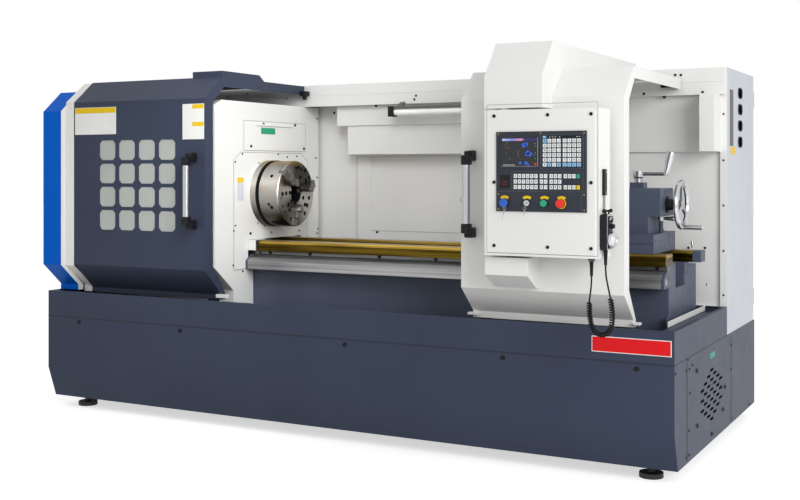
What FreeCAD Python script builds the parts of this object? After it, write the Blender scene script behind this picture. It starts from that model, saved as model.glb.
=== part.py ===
import FreeCAD, Part
import math
import os
import re
import Sketcher

# A flat-bed turning lathe with a guard that slides open, in millimetres. X runs along the bed from the
# headstock to the tailstock, Y from the operator to the back, and Z up. The origin is on the floor, in
# the middle of the floor space that the machine takes up.
# Depths are measured back from the front face of the base, and heights up from its underside.

SIZES = {
    # base: a welded plinth with a chip tray on it, on levelling feet
    "base_length": 3700, "base_depth": 1770, "foot_height": 65,
    "foot_radius": 55, "foot_plate": 24, "stud_radius": 18, "foot_inset_x": 150, "foot_inset_y": 170,
    "plinth_height": 474, "toe_depth": 60, "toe_height": 173,
    "tray_height": 149, "tray_wall": 4, "tray_lip": 22,
    "rail_depth": 172, "rail_width": 10, "rail_height": 112,
    # panel with slots over the pump space in the right end
    "vent_depth": 235, "vent_width": 948, "vent_bottom": 12, "vent_tall": 438, "vent_sheet": 2,
    "vent_slot_long": 70, "vent_slot_high": 13, "vent_slot_pitch": 24, "vent_slot_step": 130,
    "vent_slot_low": 111, "pump_space": 260, "pump_depth": 440, "pump_width": 540, "pump_low": 60,
    "pump_high": 360,
    # sheet covers
    "cover_sheet": 3, "blue_width": 140, "blue_proud": 40, "strip_width": 60, "door_gap": 5,
    "blue_low_edge": 32, "blue_low_fold": 157, "blue_high_fold": 1047, "blue_top": 1167, "blue_lean": 140,
    "strip_low_edge": 30, "strip_low_fold": 152, "strip_high_fold": 1100, "strip_top": 1218,
    "strip_lean": 150, "cover_skirt": 11, "end_wall_top": 1160, "end_wall_inset": 5,
    "bar_hole_radius": 75,
    # sliding doors
    "door_sheet": 3, "door_flange": 70, "arm_deep": 55, "roof_gap": 15,
    "left_door_width": 945, "left_lean": 150, "left_low_edge": 17, "left_low_fold": 162,
    "left_high_fold": 1097, "left_top": 1222,
    "right_door_width": 801, "right_door_setback": 223, "right_lean": 140, "right_low_edge": 22,
    "right_low_fold": 147, "right_high_fold": 1042, "right_top": 1182,
    "window_wide": 116, "window_high": 112, "window_corner": 18, "window_pitch_x": 143.7,
    "window_pitch_z": 132, "window_first_x": 193, "window_first_z": 367, "window_count": 4,
    "pane_sheet": 5, "pane_margin": 24,
    "hump_wide": 206, "hump_front": 154, "hump_back": 507, "hump_foot": 557, "hump_high": 34,
    # door handles
    "handle_radius": 14.5, "handle_length": 280, "handle_reach": 70, "handle_end_long": 67,
    "handle_end_wide": 34, "handle_foot": 12, "left_handle_in": 74, "right_handle_in": 60,
    "handle_height": 453,
    # door rollers
    "roller_radius": 20, "roller_width": 16, "roller_inset": 60, "roller_plate": 3,
    "roller_axle": 5, "roller_gap": 0.3, "block_long": 90, "block_high": 40, "block_thick": 16,
    # machine enclosure behind
    "wall_sheet": 3, "wall_top": 1227, "beam_depth": 1000, "beam_thick": 51, "beam_low": 1097,
    "beam_fold": 1160, "beam_groove": 3,
    "duct_in": 280, "duct_shoulder": 67, "duct_step": 977,
    "duct_low": 787, "duct_gap": 5, "duct_slant": 19, "duct_deep": 125,
    "duct_low_front": 802,
    "lamp_in": 650, "lamp_length": 760, "lamp_ahead": 95, "lamp_height": 1045, "lamp_wide": 60,
    "lamp_thick": 34, "lamp_cap": 26, "lamp_foot": 12, "lamp_bar": 8, "tube_radius": 19,
    # electrical cabinet
    "cabinet_width": 770, "cabinet_top": 1862, "cabinet_sheet": 3,
    "cabinet_flange": 36, "cabinet_door_thick": 18, "cabinet_latch": 10, "hinge_radius": 8,
    "hinge_long": 90,
    "slot_high": 55, "slot_wide": 100, "slot_low": 1453, "slot_pitch": 88, "slot_back": 273,
    "latch_in": 67, "latch_radius": 22, "cabinet_recess": 20,
    "side_duct_in": 30, "side_duct_wide": 75, "side_duct_deep": 160,
    # bed
    "bed_setback": 150, "bed_in": 250, "bed_front": 473, "bed_gap": 41, "bed_shoulder": 368,
    "bed_height": 447, "way_front": 420, "way_inner": 545, "way_bevel": 18, "way_edge": 57,
    "web_front": 455, "ledge_back": 600, "ledge_drop": 42, "trough_back": 775, "trough_depth": 170,
    "rear_way_front": 790, "rear_way_back": 880, "rear_web_back": 850, "rear_way_over": 78,
    "chip_plate_front": 420, "chip_plate_clear": 31, "chip_plate_top": 5, "chip_plate_foot": 40,
    # screw cover
    "screw_front": 390, "screw_low": 287, "screw_fold": 334, "screw_back": 438, "screw_cover_sheet": 2,
    "screw_bracket": 16, "screw_radius": 18, "screw_depth": 432, "screw_height": 317, "fit_gap": 0.05,
    # headstock and its guard
    "head_length": 1130, "head_front": 400, "head_inset": 25, "head_high": 560, "head_gap": 30,
    "head_round": 70, "head_in": 290,
    "centre_height": 267, "centre_depth": 628,
    "guard_front": 106, "guard_low_edge": 30, "guard_low_fold": 167, "guard_high_fold": 1067,
    "guard_top": 1097, "guard_top_front": 169, "guard_clear": 23, "guard_low_front": 280,
    "guard_sheet": 3, "guard_hole_radius": 215, "inspect_front": 375,
    "inspect_back": 1020, "inspect_low": 820, "inspect_high": 991, "inspect_sheet": 2,
    "plate_front": 280, "plate_back": 1040, "plate_low": 143, "plate_margin": 24, "plate_corner": 66,
    "plate_corner_high": 45,
    # spindle, chuck and jaws
    "spindle_radius": 62, "spindle_bore": 52, "nose_radius": 105, "nose_length": 30,
    "backplate_radius": 193, "backplate_length": 44, "neck_radius": 172, "neck_length": 10,
    "chuck_radius": 190, "chuck_length": 134, "chuck_bevel": 5, "chuck_bore": 52,
    "pulley_radius": 140, "pulley_width": 110, "pulley_groove": 9, "pulley_grooves": 3,
    "jaw_width": 46, "jaw_slot": 22, "jaw_slot_deep": 26, "jaw_inner": 66, "jaw_step": 40,
    "jaw_outer": 188, "jaw_high": 54, "jaw_angle": 18, "jaw_gap": 0.3, "side_hole_radius": 9,
    "side_hole_deep": 26, "bolt_hole_radius": 8, "bolt_hole_deep": 12, "bolt_circle": 150,
    # carriage
    "saddle_in": 830, "saddle_length": 420, "saddle_front": 399, "saddle_back": 905,
    "saddle_high": 60, "slide_gap": 0.3, "skirt_depth": 63, "gib_depth": 53,
    "nut_radius": 26, "nut_length": 80, "nut_arm": 60, "arm_front": 441, "arm_back": 453,
    "arm_under": 6, "arm_thick": 14, "slide_wide": 280, "slide_front": 240, "slide_back": 700,
    "slide_high": 56, "guide_wide": 150, "guide_high": 22,
    "turret_wide": 240, "turret_depth": 400, "turret_foot_radius": 110, "turret_foot": 60,
    "turret_cap": 48, "turret_slot": 32, "turret_neck": 176, "turret_post": 34,
    "turret_post_high": 30, "tool_size": 25, "tool_reach": 60, "tool_start": 90,
    # tailstock
    "tail_setback": 64, "tail_base_long": 276, "tail_base_front": 440, "tail_base_back": 840,
    "tail_base_high": 95, "tail_block_long": 311, "tail_block_over": 15, "tail_block_front": 505,
    "tail_block_back": 745, "tail_block_low": 178, "tail_block_high": 315, "tail_neck_top": 690,
    "tail_neck_foot": 800, "tail_neck_in": 44, "tail_bevel": 10, "tail_seam": 45, "tail_groove": 5,
    "quill_radius": 36, "quill_out": 55, "centre_radius": 22, "centre_long": 62,
    "centre_angle": 60, "quill_length": 300,
    "wheel_drop": 32, "wheel_radius": 123, "wheel_rim": 13, "wheel_out": 71, "wheel_hub": 26,
    "wheel_hub_long": 40, "wheel_spoke": 20, "wheel_spoke_thick": 12, "wheel_gap": 36,
    "wheel_shaft": 16, "grip_radius": 11, "grip_length": 88, "grip_circle": 110, "shaft_in": 60,
    "lever_back": 144, "lever_block": 70, "lever_block_high": 28, "lever_hub": 26, "lever_hub_high": 56,
    "lever_arm": 136, "lever_rod": 9, "lever_grip": 108, "lever_grip_radius": 16, "lever_slant": 29,
    "lever_neck": 11, "lock_in": 22, "lock_reach": 650, "lock_post": 11, "lock_hub": 16,
    "lock_hub_high": 24, "lock_rise": 58, "lock_length": 62, "lock_grip": 12,
    # duct on the right door, bracket and control box
    "column_in": 176, "column_width": 284, "column_reach": 127,
    "column_fold": 1136, "column_mid_reach": 53, "column_mid": 1222, "column_top_in": 10,
    "column_top": 1302, "column_over": 286, "column_clear": 10,
    "bracket_in": 194, "bracket_width": 210, "bracket_reach": 160, "swing_gap": 12,
    "bracket_low": 229, "bracket_heel": 50, "bracket_heel_low": 165,
    "box_in": 212, "box_width": 536, "box_reach": 208, "box_depth": 165, "box_low": 322,
    "box_high": 655, "lid_margin": 14, "lid_sheet": 3,
    "pivot_from": 50, "pivot_reach": 85, "pivot_radius": 26, "pivot_in": 26,
    "panel_left": 62, "panel_low": 200, "panel_wide": 424, "panel_high": 356, "panel_thick": 6,
    "screen_left": 26, "screen_low": 202, "screen_wide": 173, "screen_high": 126, "screen_deep": 3,
    "screen_frame": 8,
    "keys_left": 222, "keys_low": 198, "key_pitch_x": 21.8, "key_pitch_z": 21, "key_wide": 17.5,
    "key_high": 16.5, "key_proud": 3, "key_bed": 1.5, "key_rows": 6, "key_columns": 4, "key_break": 5,
    "row_left": 84, "row_low": 97, "row_pitch_x": 19.6, "row_pitch_z": 24.5, "row_wide": 15.5,
    "row_high": 18, "row_break": 6.3, "row_count": 3,
    "button_height": 38, "button_radius": 15, "button_ring": 18, "button_proud": 22,
    "button_stem": 11, "button_gap": 0.4, "ring_proud": 5, "button_lift": 11, "stem_in": 1,
    "blue_button_x": 41, "key_switch_x": 149, "green_button_x": 231, "stop_button_x": 310,
    "stop_radius": 19, "stop_proud": 30, "key_radius": 13, "key_thick": 2.5, "key_out": 24,
    "key_tall": 11,
    # handset and its hook
    "hook_high": 114, "hook_low": 275, "hook_wide": 34, "hook_thick": 12, "hook_reach": 138,
    "hook_tongue": 110, "hook_tongue_wide": 14, "hook_tongue_thick": 5,
    "hand_thick": 34, "hand_wide": 74, "hand_high": 155, "hand_low": 38, "hand_off": 5,
    "hand_reach": 156, "hand_round": 7, "hand_face": 4, "dial_radius": 36, "dial_thick": 18,
    "dial_low": 45, "knob_radius": 10, "knob_long": 18, "knob_low": 103, "knob_high": 131,
    "knob_stem": 4, "knob_bevel": 2,
    # handset cord
    "gland_in": 56, "gland_radius": 14, "gland_long": 14, "gland_reach": 130, "relief_radius": 7,
    "relief_long": 66, "cord_radius": 3.5, "coil_radius": 13,
}

# Places that follow from the sizes, so that each piece keeps to its neighbours.
PLACES = {
    "bed_left": "base_length / 2 - bed_in",
    "head_left": "base_length / 2 - head_in",
    "saddle_middle": "base_length / 2 - bed_setback - saddle_in",
    "plate_high": "tray_wall + bed_height + centre_height + guard_hole_radius + plate_margin"
                  " - tray_height",
    "cabinet_depth": "beam_depth + beam_thick",
    "bed_back": "cabinet_depth - bed_gap",
    "chip_plate_long": "cabinet_depth - chip_plate_clear - chip_plate_front",
    "head_back": "bed_back - head_inset",
    "roof_depth": "beam_depth - roof_gap",
    "lamp_depth": "beam_depth - lamp_ahead",
    "lamp_left": "-base_length / 2 + head_length + lamp_in",
    "duct_left": "-base_length / 2 + head_length + duct_in",
    "duct_top_front": "cabinet_depth + duct_gap",
    "duct_front": "duct_top_front + duct_slant",
    "tray_depth": "duct_front + duct_deep",
    "guard_back": "tray_depth - guard_clear",
    "column_left": "base_length / 2 - right_door_setback - right_door_width + column_in",
    "column_low": "box_low + box_high + swing_gap",
    "column_back": "cabinet_depth + column_over",
    "bracket_left": "base_length / 2 - right_door_setback - right_door_width + bracket_in",
    "bracket_top": "box_low - swing_gap",
    "box_left": "base_length / 2 - right_door_setback - right_door_width + box_in",
    "pivot_x": "base_length / 2 - right_door_setback - right_door_width + box_in + pivot_from",
}

NAME = re.compile(r"[a-z]+(?:_[a-z0-9]+)+")

doc = FreeCAD.newDocument("turning_lathe")
sheet = doc.addObject("Spreadsheet::Sheet", "Sizes")
for row, (alias, content) in enumerate((SIZES | PLACES).items(), start=1):
    sheet.set("A%d" % row, alias)
    sheet.set("B%d" % row, str(content) if alias in SIZES else "=" + content)
    sheet.setAlias("B%d" % row, alias)
doc.recompute()

# Places that several pieces share, worked out from the sizes.
FRONT_Y = "((box_reach + stop_proud + panel_thick - base_depth) / 2)"
LEFT = "(-base_length / 2)"
RIGHT = "(base_length / 2)"
RIM = "(plinth_height + tray_height)"
FLOOR = "(plinth_height + tray_wall)"
WAY = "(plinth_height + tray_wall + bed_height)"
AXIS = "(plinth_height + tray_wall + bed_height + centre_height)"
GUARD = "(-base_length / 2 + head_length)"
BED_END = "(base_length / 2 - bed_setback)"
LEFT_DOOR = "(-base_length / 2 + blue_width + strip_width + door_gap)"
LEFT_DOOR_END = "(-base_length / 2 + blue_width + strip_width + door_gap + left_door_width)"
RIGHT_DOOR_END = "(base_length / 2 - right_door_setback)"
RIGHT_DOOR = "(base_length / 2 - right_door_setback - right_door_width)"
SKIRT = "(plinth_height + tray_height - cover_skirt)"
CABINET_LEFT = "(base_length / 2 - cabinet_width)"
TAIL_END = "(base_length / 2 - bed_setback - tail_setback)"
BLOCK_END = "(base_length / 2 - bed_setback - tail_setback + tail_block_over)"

PLANES = {"top": "XY_Plane", "front": "XZ_Plane", "side": "YZ_Plane"}
AXES = {"x": FreeCAD.Vector(1, 0, 0), "y": FreeCAD.Vector(0, 1, 0), "z": FreeCAD.Vector(0, 0, 1)}

parts = []
cuts = []


def formula(text):
    """The same sum, with each size's name looked up in the sheet."""
    return NAME.sub(lambda match: "Sizes." + match.group(), text)


def bind(item, field, text):
    item.setExpression(field, formula(text))


def value(text):
    return float(sheet.evalExpression(formula(text)))


def place(item, x="0", depth="0", height="0"):
    """Puts a piece at a place given along the bed, back from the front face and up from the base."""
    bind(item, "Placement.Base.x", x)
    bind(item, "Placement.Base.y", FRONT_Y + " + " + depth)
    bind(item, "Placement.Base.z", "foot_height + " + height)


def keep(item, label):
    item.Label = label
    parts.append(item)
    return item


def new_body(label, x="0", depth="0", height="0", turned=None, kept=True):
    """Empty body at its place, turned about an axis by an angle where that is given."""
    body = doc.addObject("PartDesign::Body", label)
    if turned:
        axis, angle = turned
        body.Placement = FreeCAD.Placement(FreeCAD.Vector(), FreeCAD.Rotation(AXES[axis], value(angle)))
    place(body, x, depth, height)
    return keep(body, label) if kept else body


def new_sketch(body, view, offset="0"):
    sketch = body.newObject("Sketcher::SketchObject", body.Name + "_sketch")
    plane = next(item for item in body.Origin.OriginFeatures if item.Role == PLANES[view])
    sketch.AttachmentSupport = [(plane, "")]
    sketch.MapMode = "FlatFace"
    bind(sketch, "AttachmentOffset.Base.z", offset)
    return sketch


def hold(sketch, kind, places, text):
    """A sized constraint whose number comes from the sheet."""
    index = sketch.addConstraint(Sketcher.Constraint(kind, *places, value(text)))
    bind(sketch, "Constraints[%d]" % index, text)


def hold_point(sketch, line, across, up):
    hold(sketch, "DistanceX", (-1, 1, line, 1), across)
    hold(sketch, "DistanceY", (-1, 1, line, 1), up)


def add_lines(sketch, points):
    """Closed chain of straight lines through the points; gives the number of its first line."""
    first = sketch.GeometryCount
    ends = points[1:] + points[:1]
    sketch.addGeometry([Part.LineSegment(a, b) for a, b in zip(points, ends)], False)
    count = len(points)
    for step in range(count):
        following = first + (step + 1) % count
        sketch.addConstraint(Sketcher.Constraint("Coincident", first + step, 2, following, 1))
    return first


def add_polygon(sketch, corners):
    points = [FreeCAD.Vector(value(across), value(up), 0) for across, up in corners]
    first = add_lines(sketch, points)
    for step, (across, up) in enumerate(corners):
        hold_point(sketch, first + step, across, up)


def add_circle(sketch, across, up, radius):
    centre = FreeCAD.Vector(value(across), value(up), 0)
    circle = Part.Circle(centre, FreeCAD.Vector(0, 0, 1), value(radius))
    line = sketch.addGeometry(circle, False)
    hold(sketch, "Radius", (line,), radius)
    hold(sketch, "DistanceX", (-1, 1, line, 3), across)
    hold(sketch, "DistanceY", (-1, 1, line, 3), up)


def add_loops(sketch, loops):
    for loop in loops:
        if isinstance(loop, list):
            add_polygon(sketch, loop)
        else:
            add_circle(sketch, *loop)


def extrude(body, view, loops, start, length):
    """Solid with this outline, from start towards the positive end of the view's own axis."""
    flipped = view == "front"
    sketch = new_sketch(body, view, "-(%s)" % start if flipped else start)
    add_loops(sketch, loops)
    pad = body.newObject("PartDesign::Pad", body.Name + "_pad")
    pad.Profile = sketch
    pad.Reversed = flipped
    bind(pad, "Length", length)
    return pad


def cut(body, view, loops, start, length):
    """Takes this outline out of the body, from start towards the positive end of the axis."""
    flipped = view == "front"
    sketch = new_sketch(body, view, "-(%s)" % start if flipped else start)
    add_loops(sketch, loops)
    pocket = body.newObject("PartDesign::Pocket", body.Name + "_pocket")
    pocket.Profile = sketch
    pocket.Reversed = not flipped
    bind(pocket, "Length", length)
    cuts.append(pocket)
    return pocket


def repeat(body, feature, direction, step, count):
    """Row of the same feature along one of the body's axes."""
    pattern = body.newObject("PartDesign::LinearPattern", body.Name + "_row")
    axis = next(item for item in body.Origin.OriginFeatures if item.Role == direction + "_Axis")
    pattern.Originals = [feature]
    pattern.Direction = (axis, [""])
    pattern.Mode = "Spacing"
    bind(pattern, "Offset", step)
    bind(pattern, "Occurrences", count)
    body.Tip = pattern
    return pattern


def ring(body, feature, direction, count):
    """The same feature evenly round one of the body's axes."""
    pattern = body.newObject("PartDesign::PolarPattern", body.Name + "_ring")
    axis = next(item for item in body.Origin.OriginFeatures if item.Role == direction + "_Axis")
    pattern.Originals = [feature]
    pattern.Axis = (axis, [""])
    pattern.Angle = 360
    pattern.Occurrences = count
    body.Tip = pattern
    return pattern


def inner_points(points, thick, turn):
    """The fold line moved over by the sheet's thickness, mitred at each fold."""
    normals = []
    for a, b in zip(points, points[1:]):
        run = (b - a).normalize()
        normals.append(FreeCAD.Vector(-run.y * turn, run.x * turn, 0))
    moved = [points[0] + normals[0] * thick]
    for point, before, after in zip(points[1:], normals, normals[1:]):
        mitre = (before + after) * (thick / (1 + before.dot(after)))
        moved.append(point + mitre)
    moved.append(points[-1] + normals[-1] * thick)
    return moved


def fold(body, view, corners, thick, start, length, turn=-1):
    """Sheet of one thickness folded along the corners, as wide as length."""
    flipped = view == "front"
    sketch = new_sketch(body, view, "-(%s)" % start if flipped else start)
    outer = [FreeCAD.Vector(value(across), value(up), 0) for across, up in corners]
    inner = inner_points(outer, value(thick), turn)
    add_lines(sketch, outer + inner[::-1])
    count = len(corners)
    for step, (across, up) in enumerate(corners):
        hold_point(sketch, step, across, up)
    last = 2 * count - 1
    for step in range(count):
        inside = last - step
        for line in (step - 1, step):
            if 0 <= line < count - 1:
                hold(sketch, "Distance", (inside, 1, line), thick)
    sketch.addConstraint(Sketcher.Constraint("Perpendicular", count - 1, count - 2))
    sketch.addConstraint(Sketcher.Constraint("Perpendicular", last, 0))
    pad = body.newObject("PartDesign::Pad", body.Name + "_pad")
    pad.Profile = sketch
    pad.Reversed = flipped
    bind(pad, "Length", length)
    return pad


def revolve(body, sketch, about):
    """Full turn of a sketch about its own horizontal or upright axis, or about one of its lines."""
    feature = body.newObject("PartDesign::Revolution", body.Name + "_turned")
    feature.Profile = sketch
    feature.ReferenceAxis = (sketch, [about])
    feature.Angle = 360
    return feature


def turn(body, axis, profile):
    """Turned form about the body's own axis; each corner is a place along it and a radius."""
    sketch = new_sketch(body, "top" if axis == "y" else "front")
    corners = profile if axis == "x" else [(radius, along) for along, radius in profile]
    add_polygon(sketch, corners)
    return revolve(body, sketch, "H_Axis" if axis == "x" else "V_Axis")


def rectangle(left, low, wide, high):
    right = "%s + %s" % (left, wide)
    top = "%s + %s" % (low, high)
    return [(left, low), (right, low), (right, top), (left, top)]


def oval(left, low, wide, high):
    """Outline of a slot with round ends, in short straight sides."""
    points = []
    ends = (("%s + %s - %s / 2" % (left, wide, high), -90), ("%s + %s / 2" % (left, high), 90))
    for middle, start in ends:
        for step in range(7):
            angle = math.radians(start + 30 * step)
            points.append(("%s + %s / 2 * (%.5f)" % (middle, high, math.cos(angle)),
                           "%s + %s / 2 * (%.5f)" % (low, high, 1 + math.sin(angle))))
    return points


def box(x, depth, height, long, deep, high):
    item = doc.addObject("Part::Box", "block")
    bind(item, "Length", long)
    bind(item, "Width", deep)
    bind(item, "Height", high)
    place(item, x, depth, height)
    return item


def rod(x, depth, height, radius, long, along="z"):
    """Round rod from its place towards the positive end of an axis."""
    item = doc.addObject("Part::Cylinder", "rod")
    bind(item, "Radius", radius)
    bind(item, "Height", long)
    item.Placement.Rotation = FreeCAD.Rotation(AXES["z"], AXES[along])
    place(item, x, depth, height)
    return item


def joined(pieces, label=None):
    item = doc.addObject("Part::MultiFuse", label or "joined")
    item.Shapes = pieces
    return keep(item, label) if label else item


def group(pieces, label):
    """Separate, identical pieces that share one name."""
    item = doc.addObject("Part::Compound", label)
    item.Links = pieces
    return keep(item, label)


# ---------------------------------------------------------------- base

def base_plinth():
    """Lower base, leaning in at the toe, with a space for the pump in its right end."""
    body = new_body("base_plinth")
    outline = [("toe_depth", "0"), ("0", "toe_height"), ("0", "plinth_height"),
               ("base_depth", "plinth_height"), ("base_depth", "0")]
    extrude(body, "side", [outline], LEFT, "base_length")
    panel = rectangle("vent_depth", "vent_bottom", "vent_width", "vent_tall")
    cut(body, "side", [panel], RIGHT + " - vent_sheet", "vent_sheet")
    inner = rectangle("pump_depth", "pump_low", "pump_width", "pump_high")
    cut(body, "side", [inner], RIGHT + " - pump_space", "pump_space")


def chip_tray():
    """Open tray on the plinth, with a lip round its top and a rail for the door rollers."""
    body = new_body("chip_tray")

    def step(inset):
        far = CABINET_LEFT + " - " + inset
        return [(LEFT + " + " + inset, inset), (RIGHT + " - " + inset, inset),
                (RIGHT + " - " + inset, "cabinet_depth - " + inset), (far, "cabinet_depth - " + inset),
                (far, "tray_depth - " + inset), (LEFT + " + " + inset, "tray_depth - " + inset)]

    extrude(body, "top", [step("0")], "plinth_height", "tray_height")
    cut(body, "top", [step("tray_wall")], FLOOR, "tray_height - 2 * tray_wall")
    cut(body, "top", [step("tray_lip")], RIM + " - tray_wall", "tray_wall")
    rail = rectangle("rail_depth", FLOOR, "rail_width", "rail_height")
    extrude(body, "side", [rail], LEFT + " + tray_wall", "base_length - 2 * tray_wall")


def vent_panel():
    """Screwed panel on the right end, with rows of slots laid out as a diamond."""
    body = new_body("vent_panel")
    extrude(body, "side", [rectangle("vent_depth", "vent_bottom", "vent_width", "vent_tall")],
            RIGHT + " - vent_sheet", "vent_sheet")
    loops = []
    for line, across in enumerate((1, 2, 3, 4, 3, 4, 3, 4, 3, 2, 1)):
        low = "vent_slot_low + %d * vent_slot_pitch - vent_slot_high / 2" % line
        for place_in_line in range(across):
            shift = "%s * vent_slot_step" % (place_in_line - (across - 1) / 2)
            left = "vent_depth + vent_width / 2 + %s - vent_slot_long / 2" % shift
            loops.append(rectangle(left, low, "vent_slot_long", "vent_slot_high"))
    cut(body, "side", loops, RIGHT + " - vent_sheet", "vent_sheet")


def levelling_feet():
    feet = []
    for x in (LEFT + " + foot_inset_x", RIGHT + " - foot_inset_x"):
        for depth in ("foot_inset_y", "base_depth - foot_inset_y"):
            plate = rod(x, depth, "-foot_height", "foot_radius", "foot_plate")
            stud = rod(x, depth, "-foot_height + foot_plate", "stud_radius", "foot_height - foot_plate")
            feet.append(joined([plate, stud]))
    group(feet, "levelling_feet")


# ---------------------------------------------------------------- fixed covers

def cover_line(start, low_edge, low_fold, high_fold, top, lean, front="0"):
    """Fold line of a cover: lower edge, lean out, upright face, lean in, top edge."""
    inside = "%s + %s" % (front, lean)
    return [(inside, start), (inside, RIM + " + " + low_edge), (front, RIM + " + " + low_fold),
            (front, RIM + " + " + high_fold), (inside, RIM + " + " + top)]


def blue_end_cover():
    """Blue cover that wraps the front of the left end and stands proud of the door."""
    body = new_body("blue_end_cover")
    line = cover_line(RIM, "blue_low_edge", "blue_low_fold", "blue_high_fold", "blue_top",
                      "blue_lean", "-blue_proud")
    fold(body, "side", line, "cover_sheet", LEFT, "blue_width")
    flank = line[:] + [("%s + blue_proud" % across, up) for across, up in reversed(line)]
    extrude(body, "side", [flank], LEFT + " + blue_width - cover_sheet", "cover_sheet")


def white_end_strip():
    """Narrow white cover between the blue end and the sliding door."""
    body = new_body("white_end_strip")
    line = cover_line(SKIRT, "strip_low_edge", "strip_low_fold", "strip_high_fold", "strip_top",
                      "strip_lean")
    line.append(("beam_depth - slide_gap", RIM + " + strip_top"))
    fold(body, "side", line, "cover_sheet", LEFT + " + blue_width", "strip_width")


def left_end_wall():
    """Flat sheet that closes the left end, with a hole for bar stock in line with the spindle."""
    body = new_body("left_end_wall")
    front = "-blue_proud + end_wall_inset"
    lean = front + " + blue_lean"
    outline = [(lean, RIM), (lean, RIM + " + blue_low_edge"), (front, RIM + " + blue_low_fold"),
               (front, RIM + " + blue_high_fold"), (lean, RIM + " + end_wall_top"),
               ("tray_depth", RIM + " + end_wall_top"), ("tray_depth", RIM)]
    bar = ("centre_depth", AXIS, "bar_hole_radius")
    extrude(body, "side", [outline, bar], LEFT, "cover_sheet")


def rear_wall():
    """Back sheet of the enclosure, folded forward at the top to the beam."""
    body = new_body("rear_wall")
    line = [("tray_depth", "plinth_height"), ("tray_depth", RIM + " + wall_top"),
            ("cabinet_depth", RIM + " + wall_top")]
    fold(body, "side", line, "wall_sheet", LEFT, "base_length - cabinet_width", turn=-1)


def top_beam():
    """Hollow beam across the back, which the door arms run on."""
    body = new_body("top_beam")
    back = "cabinet_depth"
    top = RIM + " + wall_top"
    outline = [("beam_depth", RIM + " + beam_low"), ("beam_depth", RIM + " + beam_fold"),
               ("beam_depth + beam_groove", RIM + " + beam_fold"),
               ("beam_depth + beam_groove", RIM + " + beam_fold + beam_groove"),
               ("beam_depth", RIM + " + beam_fold + beam_groove"),
               ("beam_depth", top), (back, top), (back, RIM + " + beam_low")]
    extrude(body, "side", [outline], LEFT + " + blue_width", "base_length - blue_width - cover_sheet")


def rear_duct():
    """Cable duct along the rear wall, under a longer and shallower one beneath the beam."""
    body = new_body("rear_duct")
    back = "tray_depth"
    step = RIM + " + duct_step"
    outline = [(back, RIM + " + duct_low"), ("duct_front", RIM + " + duct_low_front"),
               ("duct_front - duct_slant / 3", step), (back, step)]
    extrude(body, "side", [outline], "duct_left", CABINET_LEFT + " - duct_left")
    upper = [(back, step), ("duct_top_front", step), ("duct_top_front", RIM + " + beam_low"),
             (back, RIM + " + beam_low")]
    extrude(body, "side", [upper], "duct_left - duct_shoulder",
            CABINET_LEFT + " - duct_left + duct_shoulder")


def work_lamp():
    """Tube lamp under the beam: its glass tube between two caps, on a bar with two arms."""
    body = new_body("lamp_housing")
    low = RIM + " + lamp_height"
    bar = rectangle("lamp_depth + lamp_bar", low + " + tube_radius + slide_gap",
                    "lamp_wide - 2 * lamp_bar", "lamp_thick - tube_radius - slide_gap")
    extrude(body, "side", [bar], "lamp_left", "lamp_length")
    cap = rectangle("lamp_depth", low + " - lamp_cap", "lamp_wide", "lamp_cap + lamp_thick")
    for end in ("lamp_left", "lamp_left + lamp_length - lamp_thick"):
        extrude(body, "side", [cap], end, "lamp_thick")
    back = "lamp_depth + lamp_wide - lamp_bar"
    for end in ("lamp_left + lamp_thick", "lamp_left + lamp_length - 2 * lamp_thick"):
        arm = [(back, low + " + tube_radius + slide_gap"), (back, low + " + lamp_thick"),
               ("beam_depth", RIM + " + beam_low + lamp_foot"), ("beam_depth", RIM + " + beam_low")]
        extrude(body, "side", [arm], end, "lamp_thick")
    tube = rod("lamp_left + lamp_thick", "lamp_depth + lamp_wide / 2", low, "tube_radius",
               "lamp_length - 2 * lamp_thick", "x")
    keep(tube, "lamp_tube")


def electrical_cabinet():
    """Tall cabinet on the back of the plinth, open behind, with slots in its right side."""
    body = new_body("electrical_cabinet")
    back = "base_depth - cabinet_door_thick - cabinet_latch - slide_gap"
    outside = rectangle(CABINET_LEFT, "plinth_height", "cabinet_width", "cabinet_top - plinth_height")
    extrude(body, "front", [outside], "cabinet_depth", back + " - cabinet_depth")
    inside = rectangle(CABINET_LEFT + " + cabinet_sheet", "plinth_height + cabinet_sheet",
                       "cabinet_width - 2 * cabinet_sheet",
                       "cabinet_top - plinth_height - 2 * cabinet_sheet")
    cut(body, "front", [inside], "cabinet_depth + cabinet_recess + cabinet_sheet",
        back + " - cabinet_depth - cabinet_recess - 2 * cabinet_sheet")
    mouth = rectangle(CABINET_LEFT + " + cabinet_flange", "plinth_height + cabinet_flange",
                      "cabinet_width - 2 * cabinet_flange",
                      "cabinet_top - plinth_height - 2 * cabinet_flange")
    cut(body, "front", [mouth], back + " - cabinet_sheet", "cabinet_sheet")
    slots = []
    for line in range(4):
        slots.append(oval("cabinet_depth + slot_back", "slot_low + %d * slot_pitch" % line,
                          "slot_wide", "slot_high"))
    cut(body, "side", slots, RIGHT + " - cabinet_sheet", "cabinet_sheet")
    recess = rectangle(CABINET_LEFT, RIM, "cabinet_width - cabinet_flange", "duct_low_front")
    cut(body, "front", [recess], "cabinet_depth", "cabinet_recess")
    side_duct = rectangle(RIGHT + " - side_duct_in - side_duct_wide", RIM + " + duct_low_front",
                          "side_duct_wide", "beam_low - duct_low_front")
    extrude(body, "front", [side_duct], "cabinet_depth - side_duct_deep", "side_duct_deep")


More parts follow.
